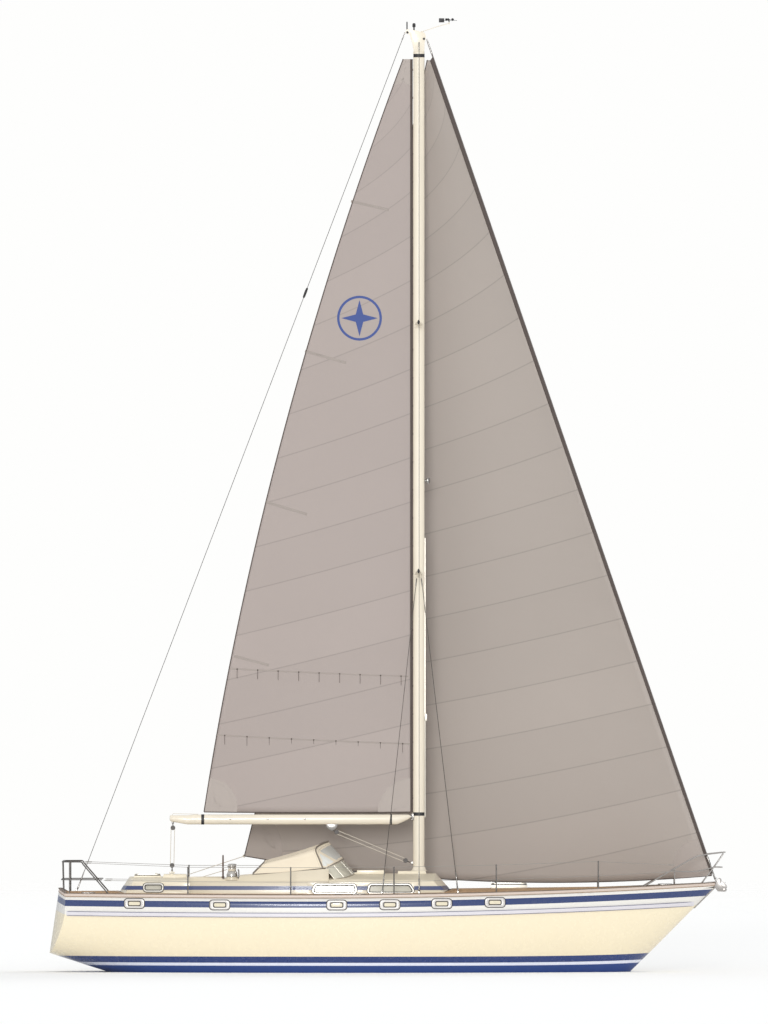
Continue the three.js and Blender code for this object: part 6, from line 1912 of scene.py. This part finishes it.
def genoa_point(across, up, proud=0.0):
    """across is 0 at the luff and 1 at the leech; up is 0 at the foot and 1 at the head."""
    luff = GENOA_TACK.lerp(GENOA_HEAD, up)
    leech = GENOA_CLEW.lerp(GENOA_HEAD - Vector((GENOA_HEADBOARD, 0, 0)), up)
    leech.x += 0.07 * bulge(up)
    leech.y = GENOA_CLEW.y * max(0.0, 1 - up) ** 0.55
    depth = mix(0.07, 0.11, min(1.0, 4 * up)) * (luff.x - leech.x) * min(1.0, 8 * (1 - up))
    spot = luff.lerp(leech, across)
    spot.y += depth * math.sin(math.pi * across ** 0.85)
    spot.y += 0.006 * math.sin(140 * up) * math.exp(-12 * across) * (1 - up)
    spot.z -= 0.29 * bulge(across) * (1 - up) ** 6
    spot.y -= proud
    return spot


genoa_cloth = sail_material("genoa cloth", 19.0, colour(188, 178, 170), 0.10)
genoa = cloth_piece("genoa_cloth", genoa_point, 60, 110, genoa_cloth, CLOTH_THICKNESS)
place(genoa, "hull", "sailcloth", "genoa")


# ------------------------------------------------------------------ sail fittings
# Tapes round every edge, reinforcing patches at the corners, battens in sewn pockets, reef bands with their
# eyelets, slides in the mast's groove, and a plain blue emblem of a star in a ring.
edge_tape = plain_finish("edge tape", colour(84, 74, 68), 0.8, variety=0.06, grain=300.0, bump=0.1)
pocket_cloth = plain_finish("pocket cloth", colour(160, 150, 143), 0.8, variety=0.05, grain=300.0, bump=0.1)
patch_cloth = plain_finish("patch cloth", colour(172, 162, 155), 0.8, variety=0.03, grain=300.0, bump=0.1)
emblem_cloth = plain_finish("emblem cloth", colour(66, 84, 142), 0.75, variety=0.05, grain=300.0, bump=0.1)


def edges_of(name, surface, body, radius=0.010):
    """The bolt rope and the folded tape round a sail."""
    shape = Shape()
    shape.tube([surface(0.0, t) for t in share(0.0, 1.0, 110)], radius, 8)
    shape.tube([surface(1.0, t) for t in share(0.0, 1.0, 110)], radius, 8)
    shape.tube([surface(t, 0.0) for t in share(0.0, 1.0, 60)], radius, 8)
    shape.finish(name, edge_tape, body, "sailcloth")


def patch_on(shape, surface, outline, thickness=0.0035, rings=5):
    """A flat patch with an outline of (across, up) points, sewn on both faces of a sail."""
    middle = sum((Vector(p) for p in outline), Vector((0.0, 0.0))) / len(outline)
    for sign in (1, -1):
        layers = [[surface(p[0], p[1], sign * 0.0005) for p in outline]]
        layers += [[surface(*middle.lerp(Vector(p), t), sign * thickness) for p in outline]
                   for t in share(1.0, 0.04, rings)]
        shape.rings(layers)


edges_of("mainsail_edges", mainsail_point, "boom")
edges_of("genoa_edges", genoa_point, "hull")


def on_main(x, z):
    """Where a place seen from the side lies on the mainsail, as (across, up)."""
    up = (z - TACK.z) / (MAIN_HEAD - TACK.z)
    leech = mix(LEECH_FOOT_X, LEECH_HEAD_X, up) - ROACH * bulge(up)
    return Vector(((TACK.x - x) / (TACK.x - leech), up))


def band_on_main(shape, start, end, width, parts=24):
    """A straight strip on both faces of the mainsail, from one (x, z) to another."""
    start, end = Vector(start), Vector(end)
    off = Vector((-(end - start).y, (end - start).x)).normalized() * width / 2
    for sign in (1, -1):
        shape.rings([[mainsail_point(*on_main(*(spot + off * s)), sign * proud)
                      for s, proud in ((-1, 0.0005), (-1, 0.004), (0, 0.0055), (1, 0.004), (1, 0.0005))]
                     for spot in (start.lerp(end, t) for t in share(0.0, 1.0, parts))])


BATTENS = [((-0.337, 14.437), (0.373, 14.275)), ((-1.199, 11.63), (-0.43, 11.414)),
           ((-1.93, 8.8), (-1.162, 8.575)), ((-2.523, 5.912), (-1.876, 5.748))]
REEFS = [((-2.605, 5.678), (0.735, 5.532)), ((-2.849, 4.434), (0.776, 4.267))]
pockets, stiff = Shape(), Shape()
for start, end in BATTENS:
    band_on_main(pockets, start, end, 0.05)
    band_on_main(stiff, start, end, 0.016)
pockets.finish("batten_pockets", pocket_cloth, "boom", "sailcloth")
stiff.finish("batten_tapes", edge_tape, "boom", "sailcloth")
reef_bands, eyelets = Shape(), []
for start, end in REEFS:
    band_on_main(reef_bands, start, end, 0.03, 48)
    for t in share(0.04, 0.96, 8):
        spot = Vector(start).lerp(Vector(end), t)
        for sign in (1, -1):
            eyelets.append((mainsail_point(*on_main(*spot), sign * 0.007), (0, -sign, 0)))
reef_bands.finish("reef_bands", pocket_cloth, "boom", "sailcloth")


def point_tree():
    """A turned eyelet with a short tie of cord hanging from it, on every point."""
    tree, nodes, given = new_tree("reef points", Radius="Float", Drop="Float", Finish="Material")
    eye = nodes.add("GeometryNodeMeshCylinder",
                    {"Vertices": 12, "Radius": given["Radius"], "Depth": 0.004}).outputs[0]
    way = nodes.add("GeometryNodeInputNamedAttribute", {"Name": "facing"},
                    data_type="FLOAT_VECTOR").outputs[0]
    turned = nodes.add("FunctionNodeAlignRotationToVector", {"Vector": way}, axis="Z").outputs[0]
    eyes = nodes.add("GeometryNodeInstanceOnPoints", {"Points": given["Geometry"], "Instance": eye,
                                                      "Rotation": turned}).outputs[0]
    cord = nodes.add("GeometryNodeMeshCylinder",
                     {"Vertices": 6, "Radius": 0.0035, "Depth": given["Drop"]}).outputs[0]
    low = nodes.add("ShaderNodeCombineXYZ", {"Z": nodes.maths("MULTIPLY", given["Drop"], -0.5)}).outputs[0]
    hung = nodes.add("GeometryNodeTransform", {"Geometry": cord, "Translation": low}).outputs[0]
    ties = nodes.add("GeometryNodeInstanceOnPoints",
                     {"Points": given["Geometry"], "Instance": hung}).outputs[0]
    both = nodes.add("GeometryNodeJoinGeometry")
    for part in (eyes, ties):
        nodes.tree.links.new(part, both.inputs[0])
    close_tree(nodes, both.outputs[0], given["Finish"])
    return tree


ties = grown("reef_points", points_mesh("reef_points", eyelets), point_tree(),
             {"Radius": 0.014, "Drop": 0.17, "Finish": edge_tape})
ties.data.shade_flat()
place(ties, "boom", "canvas")
luff_tape = plain_finish("luff tape", colour(84, 74, 70), 0.8, variety=0.05, grain=300.0, bump=0.1)
slides = Shape()
slides.block((TACK.x, -0.003, TACK.z), (0.82, 0.003, MAIN_HEAD))
for z in share(3.25, 16.9, 26):
    slides.block((0.779, -0.009, z - 0.02), (0.826, 0.009, z + 0.02))
slides.finish("luff_slides", luff_tape, "boom", "sailcloth", ease=0.001)
headsail_luff = Shape().rings([
    [spot + Vector((0, y, 0)) for spot, y in ((luff, -0.003), (groove_at, -0.003), (groove_at, 0.003),
                                              (luff, 0.003))]
    for luff, groove_at in ((GENOA_TACK.lerp(GENOA_HEAD, t),
                             FORESTAY[0].lerp(FORESTAY[1], mix(0.012, 0.979, t)))
                            for t in share(0.0, 1.0, 40))])
headsail_luff.finish("genoa_luff_tape", luff_tape, "hull", "sailcloth")

corners = Shape()


def corner_patch(shape, surface, corner, reach_across, reach_up, parts=10):
    """A quarter-round patch of cloth at a corner given as (across, up)."""
    a0, u0 = corner
    sa, su = (1 if a0 == 0 else -1), (1 if u0 == 0 else -1)
    arc = [Vector((a0 + sa * reach_across * math.cos(a), u0 + su * reach_up * math.sin(a)))
           for a in share(0.0, math.pi / 2, parts)]
    patch_on(shape, surface, [Vector(corner)] + arc)


corner_patch(corners, mainsail_point, (0, 0), 0.16, 0.045)
corner_patch(corners, mainsail_point, (1, 0), 0.16, 0.045)
for corner in ((0, 1), (1, 1)):
    corner_patch(corners, mainsail_point, corner, 0.9, 0.035)
corners.finish("mainsail_patches", patch_cloth, "boom", "sailcloth")
genoa_corners = Shape()
corner_patch(genoa_corners, genoa_point, (0, 0), 0.08, 0.045)
corner_patch(genoa_corners, genoa_point, (1, 0), 0.08, 0.055)
genoa_corners.finish("genoa_patches", patch_cloth, "hull", "sailcloth")

EMBLEM = Vector((-0.178, 12.25))
EMBLEM_RADIUS = 0.42
emblem = Shape()


def ring_on_main(shape, radius, width, parts=48):
    for sign in (1, -1):
        rings = []
        for a in share(0.0, 2 * math.pi, parts):
            out = Vector((math.cos(a), math.sin(a)))
            rings.append([mainsail_point(*on_main(*(EMBLEM + out * r)), sign * proud)
                          for r, proud in ((radius, 0.0005), (radius, 0.0035), (radius - width, 0.0035),
                                           (radius - width, 0.0005))])
        shape.rings(rings, ends=False)


ring_on_main(emblem, EMBLEM_RADIUS, 0.045)
star = []
for i in range(8):
    a = i * math.pi / 4
    reach = 0.34 if i % 2 == 0 else 0.10
    star.append(on_main(*(EMBLEM + Vector((math.sin(a), math.cos(a))) * reach)))
patch_on(emblem, mainsail_point, star)
emblem.finish("mainsail_emblem", emblem_cloth, "boom", "sailcloth")

area_of(mainsail_point)
area_of(genoa_point)

low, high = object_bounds()
{"cad": [list(cad_low), list(cad_high)], "visual": [list(low), list(high)]}
